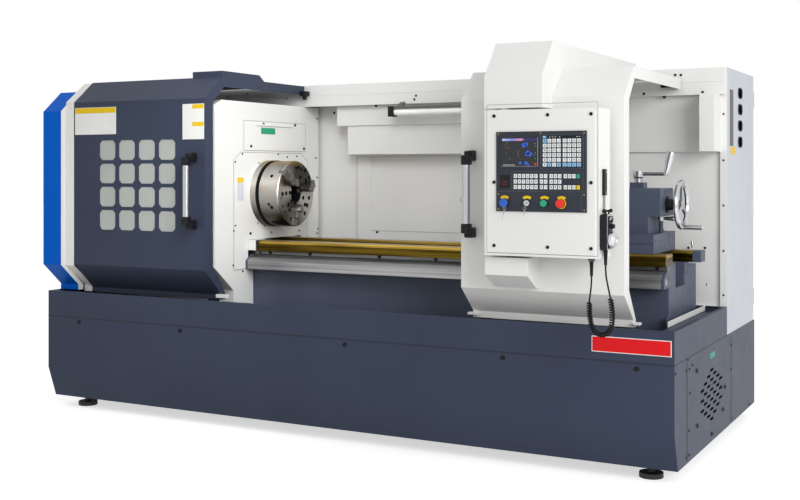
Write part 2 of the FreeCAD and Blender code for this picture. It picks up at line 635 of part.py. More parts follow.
def cabinet_door():
    """Rear door of the cabinet, with a folded rim, two hinge knuckles and a latch."""
    body = new_body("cabinet_door")
    front = "base_depth - cabinet_door_thick - cabinet_latch"
    sheet_face = rectangle(CABINET_LEFT + " + cabinet_sheet", "plinth_height + cabinet_sheet",
                           "cabinet_width - cabinet_sheet - hinge_radius",
                           "cabinet_top - plinth_height - 2 * cabinet_sheet")
    extrude(body, "front", [sheet_face], front, "cabinet_door_thick")
    hollow = rectangle(CABINET_LEFT + " + 2 * cabinet_sheet", "plinth_height + 2 * cabinet_sheet",
                       "cabinet_width - 3 * cabinet_sheet - hinge_radius",
                       "cabinet_top - plinth_height - 4 * cabinet_sheet")
    cut(body, "front", [hollow], front, "cabinet_door_thick - cabinet_sheet")
    knuckle = ("base_length / 2 - hinge_radius", "base_depth - hinge_radius", "hinge_radius")
    for low in ("plinth_height + hinge_long", "cabinet_top - 2 * hinge_long"):
        extrude(body, "top", [knuckle], low, "hinge_long")
    latch = (CABINET_LEFT + " + latch_in", "(cabinet_top + plinth_height) / 2", "latch_radius")
    extrude(body, "front", [latch], "base_depth - cabinet_latch", "cabinet_latch")


# ---------------------------------------------------------------- bed and headstock

def lathe_bed():
    """Cast bed with a wide front way, a rear way and a chip trough between them."""
    body = new_body("lathe_bed")
    low = WAY + " - way_edge"
    outline = [("bed_front", FLOOR), ("bed_front", FLOOR + " + bed_shoulder"),
               ("web_front", FLOOR + " + bed_shoulder"), ("web_front", low), ("way_front", low),
               ("way_front", WAY + " - way_bevel"), ("way_front + way_bevel", WAY),
               ("way_inner", WAY), ("way_inner", WAY + " - ledge_drop"),
               ("ledge_back", WAY + " - ledge_drop"), ("ledge_back", WAY + " - trough_depth"),
               ("trough_back", WAY + " - trough_depth"), ("trough_back", low),
               ("rear_way_front", low), ("rear_way_front", WAY), ("rear_way_back", WAY),
               ("rear_way_back", low), ("rear_web_back", low),
               ("rear_web_back", FLOOR + " + bed_shoulder"), ("bed_back", FLOOR + " + bed_shoulder"),
               ("bed_back", FLOOR)]
    extrude(body, "side", [outline], "-bed_left", BED_END + " + bed_left")
    stop = rectangle("rear_way_front", low, "rear_way_back - rear_way_front", "way_edge")
    extrude(body, "side", [stop], BED_END, "rear_way_over")


def chip_guard_plate():
    """Angle plate that stands in the tray across the right end of the bed."""
    body = new_body("chip_guard_plate")
    line = [(BED_END, RIM + " + chip_plate_top"), (BED_END, FLOOR),
            (BED_END + " + chip_plate_foot", FLOOR)]
    fold(body, "front", line, "cover_sheet", "chip_plate_front", "chip_plate_long", turn=1)


def screw_line():
    return [("bed_front", FLOOR + " + screw_low"), ("screw_front", FLOOR + " + screw_low"),
            ("screw_front", FLOOR + " + screw_fold"), ("screw_back", FLOOR + " + bed_shoulder")]


SCREW_LEFT = GUARD + " + guard_sheet + inspect_sheet + slide_gap"


def screw_cover():
    """Stainless cover over the feed screw, folded along the front of the bed."""
    body = new_body("screw_cover")
    fold(body, "side", screw_line(), "screw_cover_sheet", SCREW_LEFT + " + screw_bracket",
         BED_END + " - (" + SCREW_LEFT + ") - 2 * screw_bracket")


def screw_brackets():
    """Cast end brackets that carry the feed screw in plain bores."""
    pieces = []
    for start in (SCREW_LEFT, BED_END + " - screw_bracket"):
        body = new_body("screw_bracket", kept=False)
        pieces.append(body)
        outline = screw_line() + [("web_front", FLOOR + " + bed_shoulder"),
                                  ("bed_front", FLOOR + " + bed_shoulder")]
        bore = ("screw_depth", FLOOR + " + screw_height", "screw_radius + fit_gap")
        extrude(body, "side", [outline, bore], start, "screw_bracket")
    group(pieces, "screw_brackets")


def feed_screw():
    """Long screw that drives the carriage."""
    start = SCREW_LEFT + " - slide_gap"
    screw = rod(start, "screw_depth", FLOOR + " + screw_height", "screw_radius",
                BED_END + " - (" + start + ")", "x")
    keep(screw, "feed_screw")


def headstock():
    """Cast gearbox that carries the spindle in its bore, rounded along the top."""
    body = new_body("headstock")
    top = WAY + " + head_high"
    outline = [("head_front", WAY), ("head_front", top + " - head_round"),
               ("head_front + head_round", top), ("head_back - head_round", top),
               ("head_back", top + " - head_round"), ("head_back", WAY)]
    bore = ("centre_depth", AXIS, "spindle_radius + fit_gap")
    extrude(body, "side", [outline, bore], "-head_left", "head_left + " + GUARD + " - head_gap")


def guard_outline():
    return [("guard_low_front", FLOOR), ("guard_low_front", RIM + " + guard_low_edge"),
            ("guard_front", RIM + " + guard_low_fold"), ("guard_front", RIM + " + guard_high_fold"),
            ("guard_top_front", RIM + " + guard_top")]


def headstock_guard():
    """White wall between the headstock and the work, cut away for the bed and the chuck."""
    body = new_body("headstock_guard")
    over_bed = FLOOR + " + bed_shoulder + guard_sheet"
    outline = guard_outline() + [("guard_back", RIM + " + guard_top"), ("guard_back", FLOOR),
                                 ("bed_back + guard_sheet", FLOOR),
                                 ("bed_back + guard_sheet", over_bed),
                                 ("bed_front - guard_sheet", over_bed),
                                 ("bed_front - guard_sheet", FLOOR)]
    extrude(body, "side", [outline], GUARD, "guard_sheet")
    mouth = [("plate_front + plate_corner", RIM + " + plate_low + plate_corner"),
             ("plate_back - plate_corner", RIM + " + plate_low + plate_corner"),
             ("plate_back - plate_corner", RIM + " + plate_high - plate_corner"),
             ("plate_front + plate_corner", RIM + " + plate_high - plate_corner")]
    cut(body, "side", [mouth], GUARD, "guard_sheet")
    cover = rectangle("inspect_front", RIM + " + inspect_low", "inspect_back - inspect_front",
                      "inspect_high - inspect_low")
    extrude(body, "side", [cover], GUARD + " + guard_sheet", "inspect_sheet")


def chuck_surround():
    """Bolted plate with a round hole, which closes the wall round the chuck."""
    body = new_body("chuck_surround")
    low = RIM + " + plate_low"
    high = RIM + " + plate_high"
    step_up = WAY + " + guard_sheet"
    outline = [("plate_front", low), ("plate_front", high + " - plate_corner_high"),
               ("plate_front + plate_corner", high), ("plate_back - plate_corner", high),
               ("plate_back", high + " - plate_corner_high"), ("plate_back", step_up),
               ("way_front - guard_sheet", step_up), ("way_front - guard_sheet", low)]
    hole = ("centre_depth", AXIS, "guard_hole_radius")
    extrude(body, "side", [outline, hole], GUARD + " + guard_sheet", "inspect_sheet")


def headstock_cover():
    """Pale fixed cover in front of the headstock, seen through the door's windows."""
    body = new_body("headstock_cover")
    line = guard_outline() + [("beam_depth - slide_gap", RIM + " + guard_top")]
    fold(body, "side", line, "guard_sheet", LEFT_DOOR, GUARD + " - " + LEFT_DOOR)


# ---------------------------------------------------------------- spindle and chuck

CHUCK_BACK = "(guard_sheet + inspect_sheet + backplate_length)"


def spindle():
    """Hollow spindle: the nose flange in front and the belt pulley on its tail."""
    body = new_body("spindle", GUARD, "centre_depth", AXIS)
    nose = "guard_sheet + inspect_sheet"
    tail = "base_length / 2 - head_length - head_left"
    start = tail + " - slide_gap - pulley_width"
    pitch = "pulley_width / (2 * pulley_grooves + 1)"
    profile = [(start, "spindle_bore"), (start, "pulley_radius")]
    for groove in range(int(value("pulley_grooves"))):
        left = "%s + %d * %s" % (start, 2 * groove + 1, pitch)
        profile += [(left, "pulley_radius"),
                    ("%s + %s / 4" % (left, pitch), "pulley_radius - pulley_groove"),
                    ("%s + %s * 3 / 4" % (left, pitch), "pulley_radius - pulley_groove"),
                    ("%s + %s" % (left, pitch), "pulley_radius")]
    profile += [(start + " + pulley_width", "pulley_radius"),
                (start + " + pulley_width", "spindle_radius"),
                (nose + " - nose_length", "spindle_radius"),
                (nose + " - nose_length", "nose_radius"), (nose, "nose_radius"),
                (nose, "spindle_bore")]
    turn(body, "x", profile)


def chuck_body():
    """Three-jaw chuck on its backplate: a turned body with slots, bolt holes and key holes."""
    body = new_body("chuck_body", GUARD, "centre_depth", AXIS, ("x", "jaw_angle - 90"))
    back = "guard_sheet + inspect_sheet"
    neck = back + " + backplate_length"
    start = neck + " + neck_length"
    face = start + " + chuck_length"
    turn(body, "x", [(back, "chuck_bore"), (back, "backplate_radius"), (neck, "backplate_radius"),
                     (neck, "neck_radius"), (start, "neck_radius"),
                     (start, "chuck_radius - chuck_bevel"), (start + " + chuck_bevel", "chuck_radius"),
                     (face + " - chuck_bevel", "chuck_radius"), (face, "chuck_radius - chuck_bevel"),
                     (face, "chuck_bore")])
    groove = rectangle(face + " - jaw_slot_deep", "0", "jaw_slot_deep", "chuck_radius")
    slot = cut(body, "front", [groove], "-jaw_slot / 2", "jaw_slot")
    ring(body, slot, "X", 3)
    key = cut(body, "top", [(start + " + chuck_length / 2", "0", "side_hole_radius")],
              "-chuck_radius", "side_hole_deep")
    ring(body, key, "X", 3)
    bolt = cut(body, "side", [("bolt_circle * cos(20)", "bolt_circle * sin(20)", "bolt_hole_radius"),
                              ("bolt_circle * cos(40)", "bolt_circle * sin(40)", "bolt_hole_radius")],
               face + " - bolt_hole_deep", "bolt_hole_deep")
    ring(body, bolt, "X", 6)


def chuck_jaw(number):
    """One hard jaw: a tongue in the slot and three steps above the face."""
    body = new_body("chuck_jaw_%d" % (number + 1), GUARD, "centre_depth", AXIS,
                    ("x", "jaw_angle - 90 + %d" % (120 * number)))
    face = CHUCK_BACK + " + neck_length + chuck_length"
    low = face + " + jaw_gap"
    outline = [(low, "jaw_inner"), (low + " + jaw_high", "jaw_inner"),
               (low + " + jaw_high", "jaw_inner + jaw_step"),
               (low + " + jaw_high * 2 / 3", "jaw_inner + jaw_step"),
               (low + " + jaw_high * 2 / 3", "jaw_inner + 2 * jaw_step"),
               (low + " + jaw_high / 3", "jaw_inner + 2 * jaw_step"),
               (low + " + jaw_high / 3", "jaw_outer"), (low, "jaw_outer")]
    extrude(body, "front", [outline], "-jaw_width / 2", "jaw_width")
    tongue = rectangle(face + " - jaw_slot_deep + jaw_gap", "jaw_inner", "jaw_slot_deep",
                       "jaw_outer - jaw_inner")
    extrude(body, "front", [tongue], "-jaw_slot / 2 + jaw_gap", "jaw_slot - 2 * jaw_gap")
    for side in ("-", ""):
        corner = [(side + "jaw_width / 2", "jaw_inner"), (side + "jaw_width / 8", "jaw_inner"),
                  (side + "jaw_width / 2", "jaw_inner + jaw_step * 3 / 4")]
        cut(body, "side", [corner], low, "jaw_high")


# ---------------------------------------------------------------- carriage

def saddle():
    """Cast saddle on both ways, with a gib behind, an apron lip and the feed screw's nut."""
    left = "saddle_middle - saddle_length / 2"
    low = WAY + " + slide_gap"
    top = WAY + " + saddle_high"
    body = new_body("saddle")
    outline = [("saddle_front", WAY + " - skirt_depth"), ("saddle_front", top), ("saddle_back", top),
               ("saddle_back", WAY + " - gib_depth"), ("rear_way_back + slide_gap", WAY + " - gib_depth"),
               ("rear_way_back + slide_gap", low), ("way_front - slide_gap", low),
               ("way_front - slide_gap", WAY + " - skirt_depth")]
    extrude(body, "side", [outline], left, "saddle_length")
    guide = rectangle("saddle_middle - guide_wide / 2", top, "guide_wide", "guide_high")
    extrude(body, "front", [guide], "saddle_front", "saddle_back - saddle_front")
    under = WAY + " - way_edge - arm_under"
    nut = FLOOR + " + screw_height"
    arm = [("saddle_front", under), ("arm_back", under), ("arm_back", nut), ("arm_front", nut),
           ("arm_front", under + " - arm_thick"), ("saddle_front", under + " - arm_thick")]
    extrude(body, "side", [arm], "saddle_middle - nut_arm / 2", "nut_arm")
    extrude(body, "side", [("screw_depth", nut, "nut_radius")], "saddle_middle - nut_length / 2",
            "nut_length")
    cut(body, "side", [("screw_depth", nut, "screw_radius + fit_gap")],
        "saddle_middle - nut_length / 2", "nut_length")


SLIDE_LOW = WAY + " + saddle_high + slide_gap"
SLIDE_TOP = WAY + " + saddle_high + slide_high"


def cross_slide():
    """Slide that runs across the saddle on its raised guide."""
    body = new_body("cross_slide")
    inner = "guide_wide / 2 + slide_gap"
    guide_top = SLIDE_LOW + " + guide_high"
    left = "saddle_middle - slide_wide / 2"
    right = "saddle_middle + slide_wide / 2"
    outline = [(left, SLIDE_LOW), (left, SLIDE_TOP), (right, SLIDE_TOP), (right, SLIDE_LOW),
               ("saddle_middle + " + inner, SLIDE_LOW), ("saddle_middle + " + inner, guide_top),
               ("saddle_middle - (%s)" % inner, guide_top),
               ("saddle_middle - (%s)" % inner, SLIDE_LOW)]
    extrude(body, "front", [outline], "slide_front", "slide_back - slide_front")


TOOL_LOW = "(centre_height - tool_size - saddle_high - slide_high)"


def tool_turret():
    """Square four-way turret: round foot, lower block, narrow neck for the tools, cap and post."""
    body = new_body("tool_turret", "saddle_middle", "turret_depth", SLIDE_TOP + " + slide_gap")
    foot = ("0", "0", "turret_foot_radius")
    extrude(body, "top", [foot], "0", "turret_foot")

    def square(wide):
        return rectangle("-%s / 2" % wide, "-%s / 2" % wide, wide, wide)

    extrude(body, "top", [square("turret_wide")], "turret_foot", TOOL_LOW + " - turret_foot")
    extrude(body, "top", [square("turret_neck")], TOOL_LOW, "turret_slot")
    extrude(body, "top", [square("turret_wide")], TOOL_LOW + " + turret_slot", "turret_cap")
    extrude(body, "top", [("0", "0", "turret_post")], TOOL_LOW + " + turret_slot + turret_cap",
            "turret_post_high")


def turning_tools():
    """Square tool bars, one in each side of the turret."""
    bars = []
    for quarter in range(4):
        body = new_body("tool_bar", "saddle_middle", "turret_depth", SLIDE_TOP + " + slide_gap",
                        ("z", str(-90 * quarter)), kept=False)
        side = "-turret_wide / 2"
        tip = "turret_wide / 2 + tool_reach"
        outline = [(side, "-tool_start"), (side + " + tool_size", "-tool_start"),
                   (side + " + tool_size", tip + " - tool_reach / 4"),
                   (side + " + tool_size / 3", tip), (side, tip)]
        extrude(body, "top", [outline], TOOL_LOW, "tool_size")
        bars.append(body)
    group(bars, "turning_tools")


# ---------------------------------------------------------------- tailstock

def tailstock_body():
    """Cast tailstock: base plates, a leaning neck and the barrel block with its bores."""
    body = new_body("tailstock_body")
    low = WAY + " + slide_gap"
    plate = rectangle("tail_base_front", low, "tail_base_back - tail_base_front",
                      "tail_base_high - slide_gap")
    extrude(body, "side", [plate], TAIL_END + " - tail_base_long", "tail_base_long")
    seam = [("tail_base_front", WAY + " + tail_seam"),
            ("tail_base_front", WAY + " + tail_seam + tail_groove"),
            ("tail_base_front + tail_groove", WAY + " + tail_seam + tail_groove / 2")]
    cut(body, "side", [seam], TAIL_END + " - tail_base_long", "tail_base_long")
    foot = WAY + " + tail_base_high"
    neck = [("tail_block_front", foot), ("tail_block_front", WAY + " + tail_block_low"),
            ("tail_neck_top", WAY + " + tail_block_low"), ("tail_neck_foot", foot)]
    extrude(body, "side", [neck], TAIL_END + " - tail_base_long + tail_neck_in",
            "tail_base_long - 2 * tail_neck_in")
    top = WAY + " + tail_block_high"
    block = [("tail_block_front", WAY + " + tail_block_low"), ("tail_block_front", top + " - tail_bevel"),
             ("tail_block_front + tail_bevel", top), ("tail_block_back - tail_bevel", top),
             ("tail_block_back", top + " - tail_bevel"), ("tail_block_back", WAY + " + tail_block_low")]
    extrude(body, "side", [block], BLOCK_END + " - tail_block_long", "tail_block_long")
    nut = rectangle(BLOCK_END + " - lever_back - lever_block / 2", "centre_depth - lever_block / 2",
                    "lever_block", "lever_block")
    extrude(body, "top", [nut], top, "lever_block_high")
    cut(body, "side", [("centre_depth", AXIS, "quill_radius + fit_gap")],
        BLOCK_END + " - tail_block_long", "quill_length - quill_out + slide_gap")
    cut(body, "side", [("centre_depth", AXIS + " - wheel_drop", "wheel_shaft + fit_gap")],
        BLOCK_END + " - shaft_in - slide_gap", "shaft_in + slide_gap")
    extrude(body, "top", [(TAIL_END + " - lock_in", "lock_reach", "lock_post")],
            WAY + " + tail_base_high", "lock_rise")


def tailstock_quill():
    """Sliding barrel with its pointed centre."""
    body = new_body("tailstock_quill", BLOCK_END + " - tail_block_long", "centre_depth", AXIS)
    out = "-quill_out"
    point = out + " - centre_long"
    turn(body, "x", [(point, "0"), (point + " + centre_radius / tan(centre_angle / 2)", "centre_radius"),
                     (out, "centre_radius"), (out, "quill_radius"),
                     ("quill_length - quill_out", "quill_radius"), ("quill_length - quill_out", "0")])


def tailstock_handwheel():
    """Handwheel: round rim, hub, spokes, turned grip and the shaft that enters the block."""
    body = new_body("tailstock_handwheel", BLOCK_END, "centre_depth", AXIS + " - wheel_drop")
    hub_end = "wheel_gap + wheel_hub_long"
    turn(body, "x", [("-shaft_in", "0"), ("-shaft_in", "wheel_shaft"), ("wheel_gap", "wheel_shaft"),
                     ("wheel_gap", "wheel_hub"), (hub_end, "wheel_hub"), (hub_end, "0")])
    middle = "wheel_radius - wheel_rim"
    sketch = new_sketch(body, "front")
    add_polygon(sketch, [("wheel_out + wheel_rim * cos(%d)" % angle,
                          middle + " + wheel_rim * sin(%d)" % angle) for angle in range(0, 360, 45)])
    spoke = extrude(body, "front", [rectangle("wheel_gap + wheel_hub_long - wheel_spoke_thick", "0",
                                              "wheel_spoke_thick", middle)],
                    "-wheel_spoke / 2", "wheel_spoke")
    ring(body, spoke, "X", 3)
    revolve(body, sketch, "H_Axis")
    grip = ("0", "-grip_circle", "grip_radius")
    extrude(body, "side", [grip], "wheel_out", "grip_length + wheel_rim")


def quill_clamp_lever():
    """Clamp lever on top of the block: hub, round arm and a tapered grip that leans out."""
    body = new_body("quill_clamp_lever", BLOCK_END + " - lever_back", "centre_depth",
                    WAY + " + tail_block_high + lever_block_high + slide_gap")
    turn(body, "z", [("0", "0"), ("0", "lever_hub * 3 / 4"), ("lever_hub_high / 3", "lever_hub * 3 / 4"),
                     ("lever_hub_high / 2", "lever_hub"), ("lever_hub_high", "lever_hub"),
                     ("lever_hub_high", "0")])
    arm = ("0", "lever_hub_high * 3 / 4", "lever_rod")
    extrude(body, "side", [arm], "0", "lever_arm")
    high = "lever_hub_high * 3 / 4"
    grip = new_sketch(body, "front")
    narrow = "lever_neck"
    foot = "lever_arm"
    end = "lever_arm + lever_slant"
    add_polygon(grip, [(foot, high + " - lever_neck"), (end, high + " + lever_grip"),
                       (end + " + lever_grip_radius", high + " + lever_grip - lever_slant / 8"),
                       (end + " + lever_grip_radius * 3 / 4", high + " + lever_grip * 2 / 3"),
                       (foot + " + " + narrow, high + " - lever_neck")])
    revolve(body, grip, "Edge1")


def bed_clamp_lever():
    """Small lever on the post at the tailstock's foot: hub and tapered grip."""
    body = new_body("bed_clamp_lever", TAIL_END + " - lock_in", "lock_reach",
                    WAY + " + tail_base_high + lock_rise + slide_gap")
    extrude(body, "top", [("0", "0", "lock_hub")], "0", "lock_hub_high")
    sketch = new_sketch(body, "front", "0")
    middle = "lock_hub_high / 2"
    add_polygon(sketch, [("0", middle), ("lock_hub + lock_length", middle),
                         ("lock_hub + lock_length", middle + " + lock_grip * 2 / 3"),
                         ("lock_hub + lock_length * 3 / 4", middle + " + lock_grip"),
                         ("0", middle + " + lock_grip / 2")])
    revolve(body, sketch, "Edge1")


# ---------------------------------------------------------------- sliding doors

def door_shell(label, left, wide, lean, low_edge, low_fold, high_fold, top):
    """Folded door with its roof, and a stiffening frame across each open end."""
    body = new_body(label)
    low = RIM + " + " + low_edge
    lower = RIM + " + " + low_fold
    upper = RIM + " + " + high_fold
    high = RIM + " + " + top
    line = [(lean, SKIRT), (lean, low), ("0", lower), ("0", upper), (lean, high), ("roof_depth", high)]
    fold(body, "side", line, "door_sheet", left, wide)
    inner = [("roof_depth", high + " - arm_deep"), (lean + " + arm_deep / 3", high + " - arm_deep"),
             ("door_flange", upper + " - door_flange / 4"), ("door_flange", lower + " + door_flange / 4"),
             (lean + " + door_flange / 2", low), (lean + " + door_flange / 2", SKIRT)]
    for start in (left, "%s + %s - door_sheet" % (left, wide)):
        extrude(body, "side", [line + inner], start, "door_sheet")
    return body


def left_door():
    """Dark door with a grid of bevelled windows and a raised cover on its roof."""
    body = door_shell("left_door", LEFT_DOOR, "left_door_width", "left_lean", "left_low_edge",
                      "left_low_fold", "left_high_fold", "left_top")
    loops = []
    left = LEFT_DOOR + " + window_first_x"
    right = left + " + window_wide"
    for line in range(int(value("window_count"))):
        low = RIM + " + window_first_z + %d * window_pitch_z" % line
        high = low + " + window_high"
        loops.append([(left + " + window_corner", low), (right + " - window_corner", low),
                      (right, low + " + window_corner"), (right, high + " - window_corner"),
                      (right + " - window_corner", high), (left + " + window_corner", high),
                      (left, high + " - window_corner"), (left, low + " + window_corner")])
    column = cut(body, "front", loops, "0", "door_sheet")
    repeat(body, column, "X", "window_pitch_x", "window_count")
    top = RIM + " + left_top"
    hump = [("hump_front", top), ("hump_front", top + " + hump_high"),
            ("hump_back", top + " + hump_high"), ("hump_foot", top)]
    extrude(body, "side", [hump], LEFT_DOOR_END + " - hump_wide", "hump_wide")
    pane = box(LEFT_DOOR + " + window_first_x - pane_margin", "door_sheet",
               RIM + " + window_first_z - pane_margin",
               "(window_count - 1) * window_pitch_x + window_wide + 2 * pane_margin", "pane_sheet",
               "(window_count - 1) * window_pitch_z + window_high + 2 * pane_margin")
    keep(pane, "left_door_window")


def right_door():
    """White door that carries the cable column and the control box."""
    door_shell("right_door", RIGHT_DOOR, "right_door_width", "right_lean", "right_low_edge",
               "right_low_fold", "right_high_fold", "right_top")


def door_handle(side, middle):
    """Pull handle: a plain tube between two cast ends that stand on the door."""
    low = RIM + " + handle_height"
    tube = rod(middle, "-handle_reach", low, "handle_radius", "handle_length")
    keep(tube, side + "_handle_bar")
    ends = []
    for edge, sign in ((low, "-"), (low + " + handle_length", "+")):
        body = new_body("handle_end", kept=False)
        near = "%s %s handle_end_long / 6" % (edge, sign)
        outline = [("0", "%s %s handle_end_long" % (edge, sign)),
                   ("-handle_foot", "%s %s handle_end_long" % (edge, sign)),
                   ("-handle_reach - handle_end_wide / 2", "%s %s handle_end_long / 4" % (edge, sign)),
                   ("-handle_reach - handle_end_wide / 2", edge),
                   ("-handle_reach + handle_end_wide / 2", edge),
                   ("-handle_reach + handle_end_wide / 2", near),
                   ("0", "%s %s handle_end_long / 2" % (edge, sign))]
        extrude(body, "side", [outline], middle + " - handle_end_wide / 2", "handle_end_wide")
        ends.append(body)
    group(ends, side + "_handle_ends")


def door_rollers(side, left, wide, lean, top):
    """Rollers on the tray's rail, each on its axle and plate, and the blocks on the beam."""
    pieces = []
    axle = FLOOR + " + rail_height + roller_gap + roller_radius"
    plate_depth = lean + " + door_sheet"
    wheel_depth = "rail_depth + rail_width / 2 - roller_width / 2"
    ends = (left + " + roller_inset", "%s + %s - roller_inset" % (left, wide))
    for middle in ends:
        plate = box(middle + " - 2 * roller_radius", plate_depth, axle + " - 3 * roller_axle",
                    "4 * roller_radius", "roller_plate", "3 * roller_axle + 2 * roller_radius")
        pin = rod(middle, plate_depth, axle, "roller_axle",
                  "%s + roller_width - (%s)" % (wheel_depth, plate_depth), "y")
        wheel = rod(middle, wheel_depth, axle, "roller_radius", "roller_width", "y")
        pieces.append(joined([plate, pin, wheel]))
        pieces.append(box(middle + " - block_long / 2", "beam_depth - slide_gap - block_thick",
                          "%s + %s - door_sheet - block_high" % (RIM, top), "block_long", "block_thick",
                          "block_high"))
    group(pieces, side + "_door_rollers")


def cable_column():
    """Box duct up the front of the right door and back over its roof."""
    body = new_body("cable_column")
    low = RIM + " + column_low"
    outline = [("-column_reach", low), ("-column_reach", RIM + " + column_fold"),
               ("-column_mid_reach", RIM + " + column_mid"), ("column_top_in", RIM + " + column_top"),
               ("column_back", RIM + " + column_top"), ("column_back", "cabinet_top + column_clear"),
               ("roof_depth", "cabinet_top + column_clear"), ("roof_depth", RIM + " + right_top"),
               ("right_lean", RIM + " + right_top"), ("0", RIM + " + right_high_fold"), ("0", low)]
    extrude(body, "side", [outline], "column_left", "column_width")
    cut(body, "top", [("pivot_x", "-pivot_reach", "pivot_radius + fit_gap")], low, "pivot_in + slide_gap")


def lower_bracket():
    """Box bracket under the control box, bevelled below, with the lower pivot's bore."""
    body = new_body("lower_bracket")
    outline = [("0", RIM + " + bracket_heel_low"), ("-bracket_heel", RIM + " + bracket_heel_low"),
               ("-bracket_reach", RIM + " + bracket_low"), ("-bracket_reach", RIM + " + bracket_top"),
               ("0", RIM + " + bracket_top")]
    extrude(body, "side", [outline], "bracket_left", "bracket_width")
    cut(body, "top", [("pivot_x", "-pivot_reach", "pivot_radius + fit_gap")],
        RIM + " + bracket_top - pivot_in - slide_gap", "pivot_in + slide_gap")


# ---------------------------------------------------------------- control box

BOX_RIGHT = "(box_left + box_width)"
BOX_LOW = "(plinth_height + tray_height + box_low)"
PANEL_X = "(box_left + panel_left)"
PANEL_Z = "(plinth_height + tray_height + box_low + panel_low)"
PANEL_FRONT = "(-box_reach - panel_thick)"


def control_box():
    """Swinging control box: sheet case, screwed front plate, pivots, handset hook and gland."""
    body = new_body("control_box")
    case = rectangle("box_left", BOX_LOW, "box_width", "box_high")
    extrude(body, "front", [case], "-box_reach + lid_sheet", "box_depth - lid_sheet")
    lid = rectangle("box_left + lid_margin", BOX_LOW + " + lid_margin", "box_width - 2 * lid_margin",
                    "box_high - 2 * lid_margin")
    extrude(body, "front", [lid], "-box_reach", "lid_sheet")
    pivot = ("pivot_x", "-pivot_reach", "pivot_radius")
    low_pin = RIM + " + bracket_top - pivot_in"
    extrude(body, "top", [pivot], low_pin, BOX_LOW + " - (" + low_pin + ")")
    top = BOX_LOW + " + box_high"
    extrude(body, "top", [pivot], top, RIM + " + column_low + pivot_in - (" + top + ")")
    strap = rectangle("-hook_reach - hook_wide / 2", BOX_LOW + " + hook_low", "hook_wide", "hook_high")
    extrude(body, "side", [strap], BOX_RIGHT, "hook_thick")
    tongue = rectangle("-hook_reach - hook_tongue_wide / 2", BOX_LOW + " + hook_low - hook_tongue",
                       "hook_tongue_wide", "hook_tongue")
    extrude(body, "side", [tongue], BOX_RIGHT, "hook_tongue_thick")
    gland = (BOX_RIGHT + " - gland_in", "-gland_reach", "gland_radius")
    extrude(body, "top", [gland], BOX_LOW + " - gland_long", "gland_long")
    relief = (BOX_RIGHT + " - gland_in", "-gland_reach", "relief_radius")
    extrude(body, "top", [relief], BOX_LOW + " - gland_long - relief_long", "relief_long")


def button_places():
    for name in ("blue_button_x", "key_switch_x", "green_button_x", "stop_button_x"):
        yield PANEL_X + " + " + name


def control_panel():
    """Dark operator panel with the screen's recess and a bored ring for each button."""
    body = new_body("control_panel")
    extrude(body, "front", [rectangle(PANEL_X, PANEL_Z, "panel_wide", "panel_high")], PANEL_FRONT,
            "panel_thick")
    rings = [(x, PANEL_Z + " + button_height", "button_ring") for x in button_places()]
    extrude(body, "front", rings, PANEL_FRONT + " - ring_proud", "ring_proud")
    bores = [(x, PANEL_Z + " + button_height", "button_stem + button_gap") for x in button_places()]
    cut(body, "front", bores, PANEL_FRONT + " - ring_proud", "ring_proud + panel_thick")
    screen = rectangle(PANEL_X + " + screen_left", PANEL_Z + " + screen_low", "screen_wide",
                       "screen_high")
    frame = rectangle(PANEL_X + " + screen_left - screen_frame", PANEL_Z + " + screen_low - screen_frame",
                      "screen_wide + 2 * screen_frame", "screen_high + 2 * screen_frame")
    extrude(body, "front", [frame], PANEL_FRONT + " - screen_deep", "screen_deep")
    cut(body, "front", [screen], PANEL_FRONT + " - screen_deep", "screen_deep")


def panel_keys():
    """The two keypads: a block of letter keys and three rows of function keys."""
    letters = new_body("letter_keys", kept=False)
    low = PANEL_Z + " + keys_low"
    half = "key_columns * key_pitch_x"
    extrude(letters, "front", [rectangle(PANEL_X + " + keys_left", low, "2 * %s + key_break" % half,
                                         "key_rows * key_pitch_z")], PANEL_FRONT + " - key_bed", "key_bed")
    for start in ("0", half + " + key_break"):
        column = [rectangle(PANEL_X + " + keys_left + " + start + " + (key_pitch_x - key_wide) / 2",
                            "%s + %d * key_pitch_z + (key_pitch_z - key_high) / 2" % (low, line),
                            "key_wide", "key_high") for line in range(int(value("key_rows")))]
        keys = extrude(letters, "front", column, PANEL_FRONT + " - key_proud", "key_proud - key_bed")
        repeat(letters, keys, "X", "key_pitch_x", "key_columns")
    rows = new_body("function_keys", kept=False)
    low = PANEL_Z + " + row_low"
    groups = (6, 2, 3, 4)
    wide = "%d * row_pitch_x + %d * row_break" % (sum(groups), len(groups) - 1)
    extrude(rows, "front", [rectangle(PANEL_X + " + row_left", low, wide, "row_count * row_pitch_z")],
            PANEL_FRONT + " - key_bed", "key_bed")
    done = 0
    for number, count in enumerate(groups):
        left = "%s + row_left + %d * row_pitch_x + %d * row_break" % (PANEL_X, done, number)
        column = [rectangle(left + " + (row_pitch_x - row_wide) / 2",
                            "%s + %d * row_pitch_z + (row_pitch_z - row_high) / 2" % (low, line),
                            "row_wide", "row_high") for line in range(int(value("row_count")))]
        keys = extrude(rows, "front", column, PANEL_FRONT + " - key_proud", "key_proud - key_bed")
        repeat(rows, keys, "X", "row_pitch_x", str(count))
        done += count
    group([letters, rows], "panel_keys")


def push_button(label, place_x, radius, proud):
    """Turned button: a stem in the panel's ring and a cap with a bevelled rim."""
    body = new_body(label, PANEL_X + " + " + place_x, PANEL_FRONT, PANEL_Z + " + button_height")
    turn(body, "y", [("stem_in", "0"), ("stem_in", "button_stem"), ("-button_lift", "button_stem"),
                     ("-button_lift", radius), ("-%s + 2 * stem_in" % proud, radius),
                     ("-" + proud, radius + " - 2 * stem_in"), ("-" + proud, "0")])


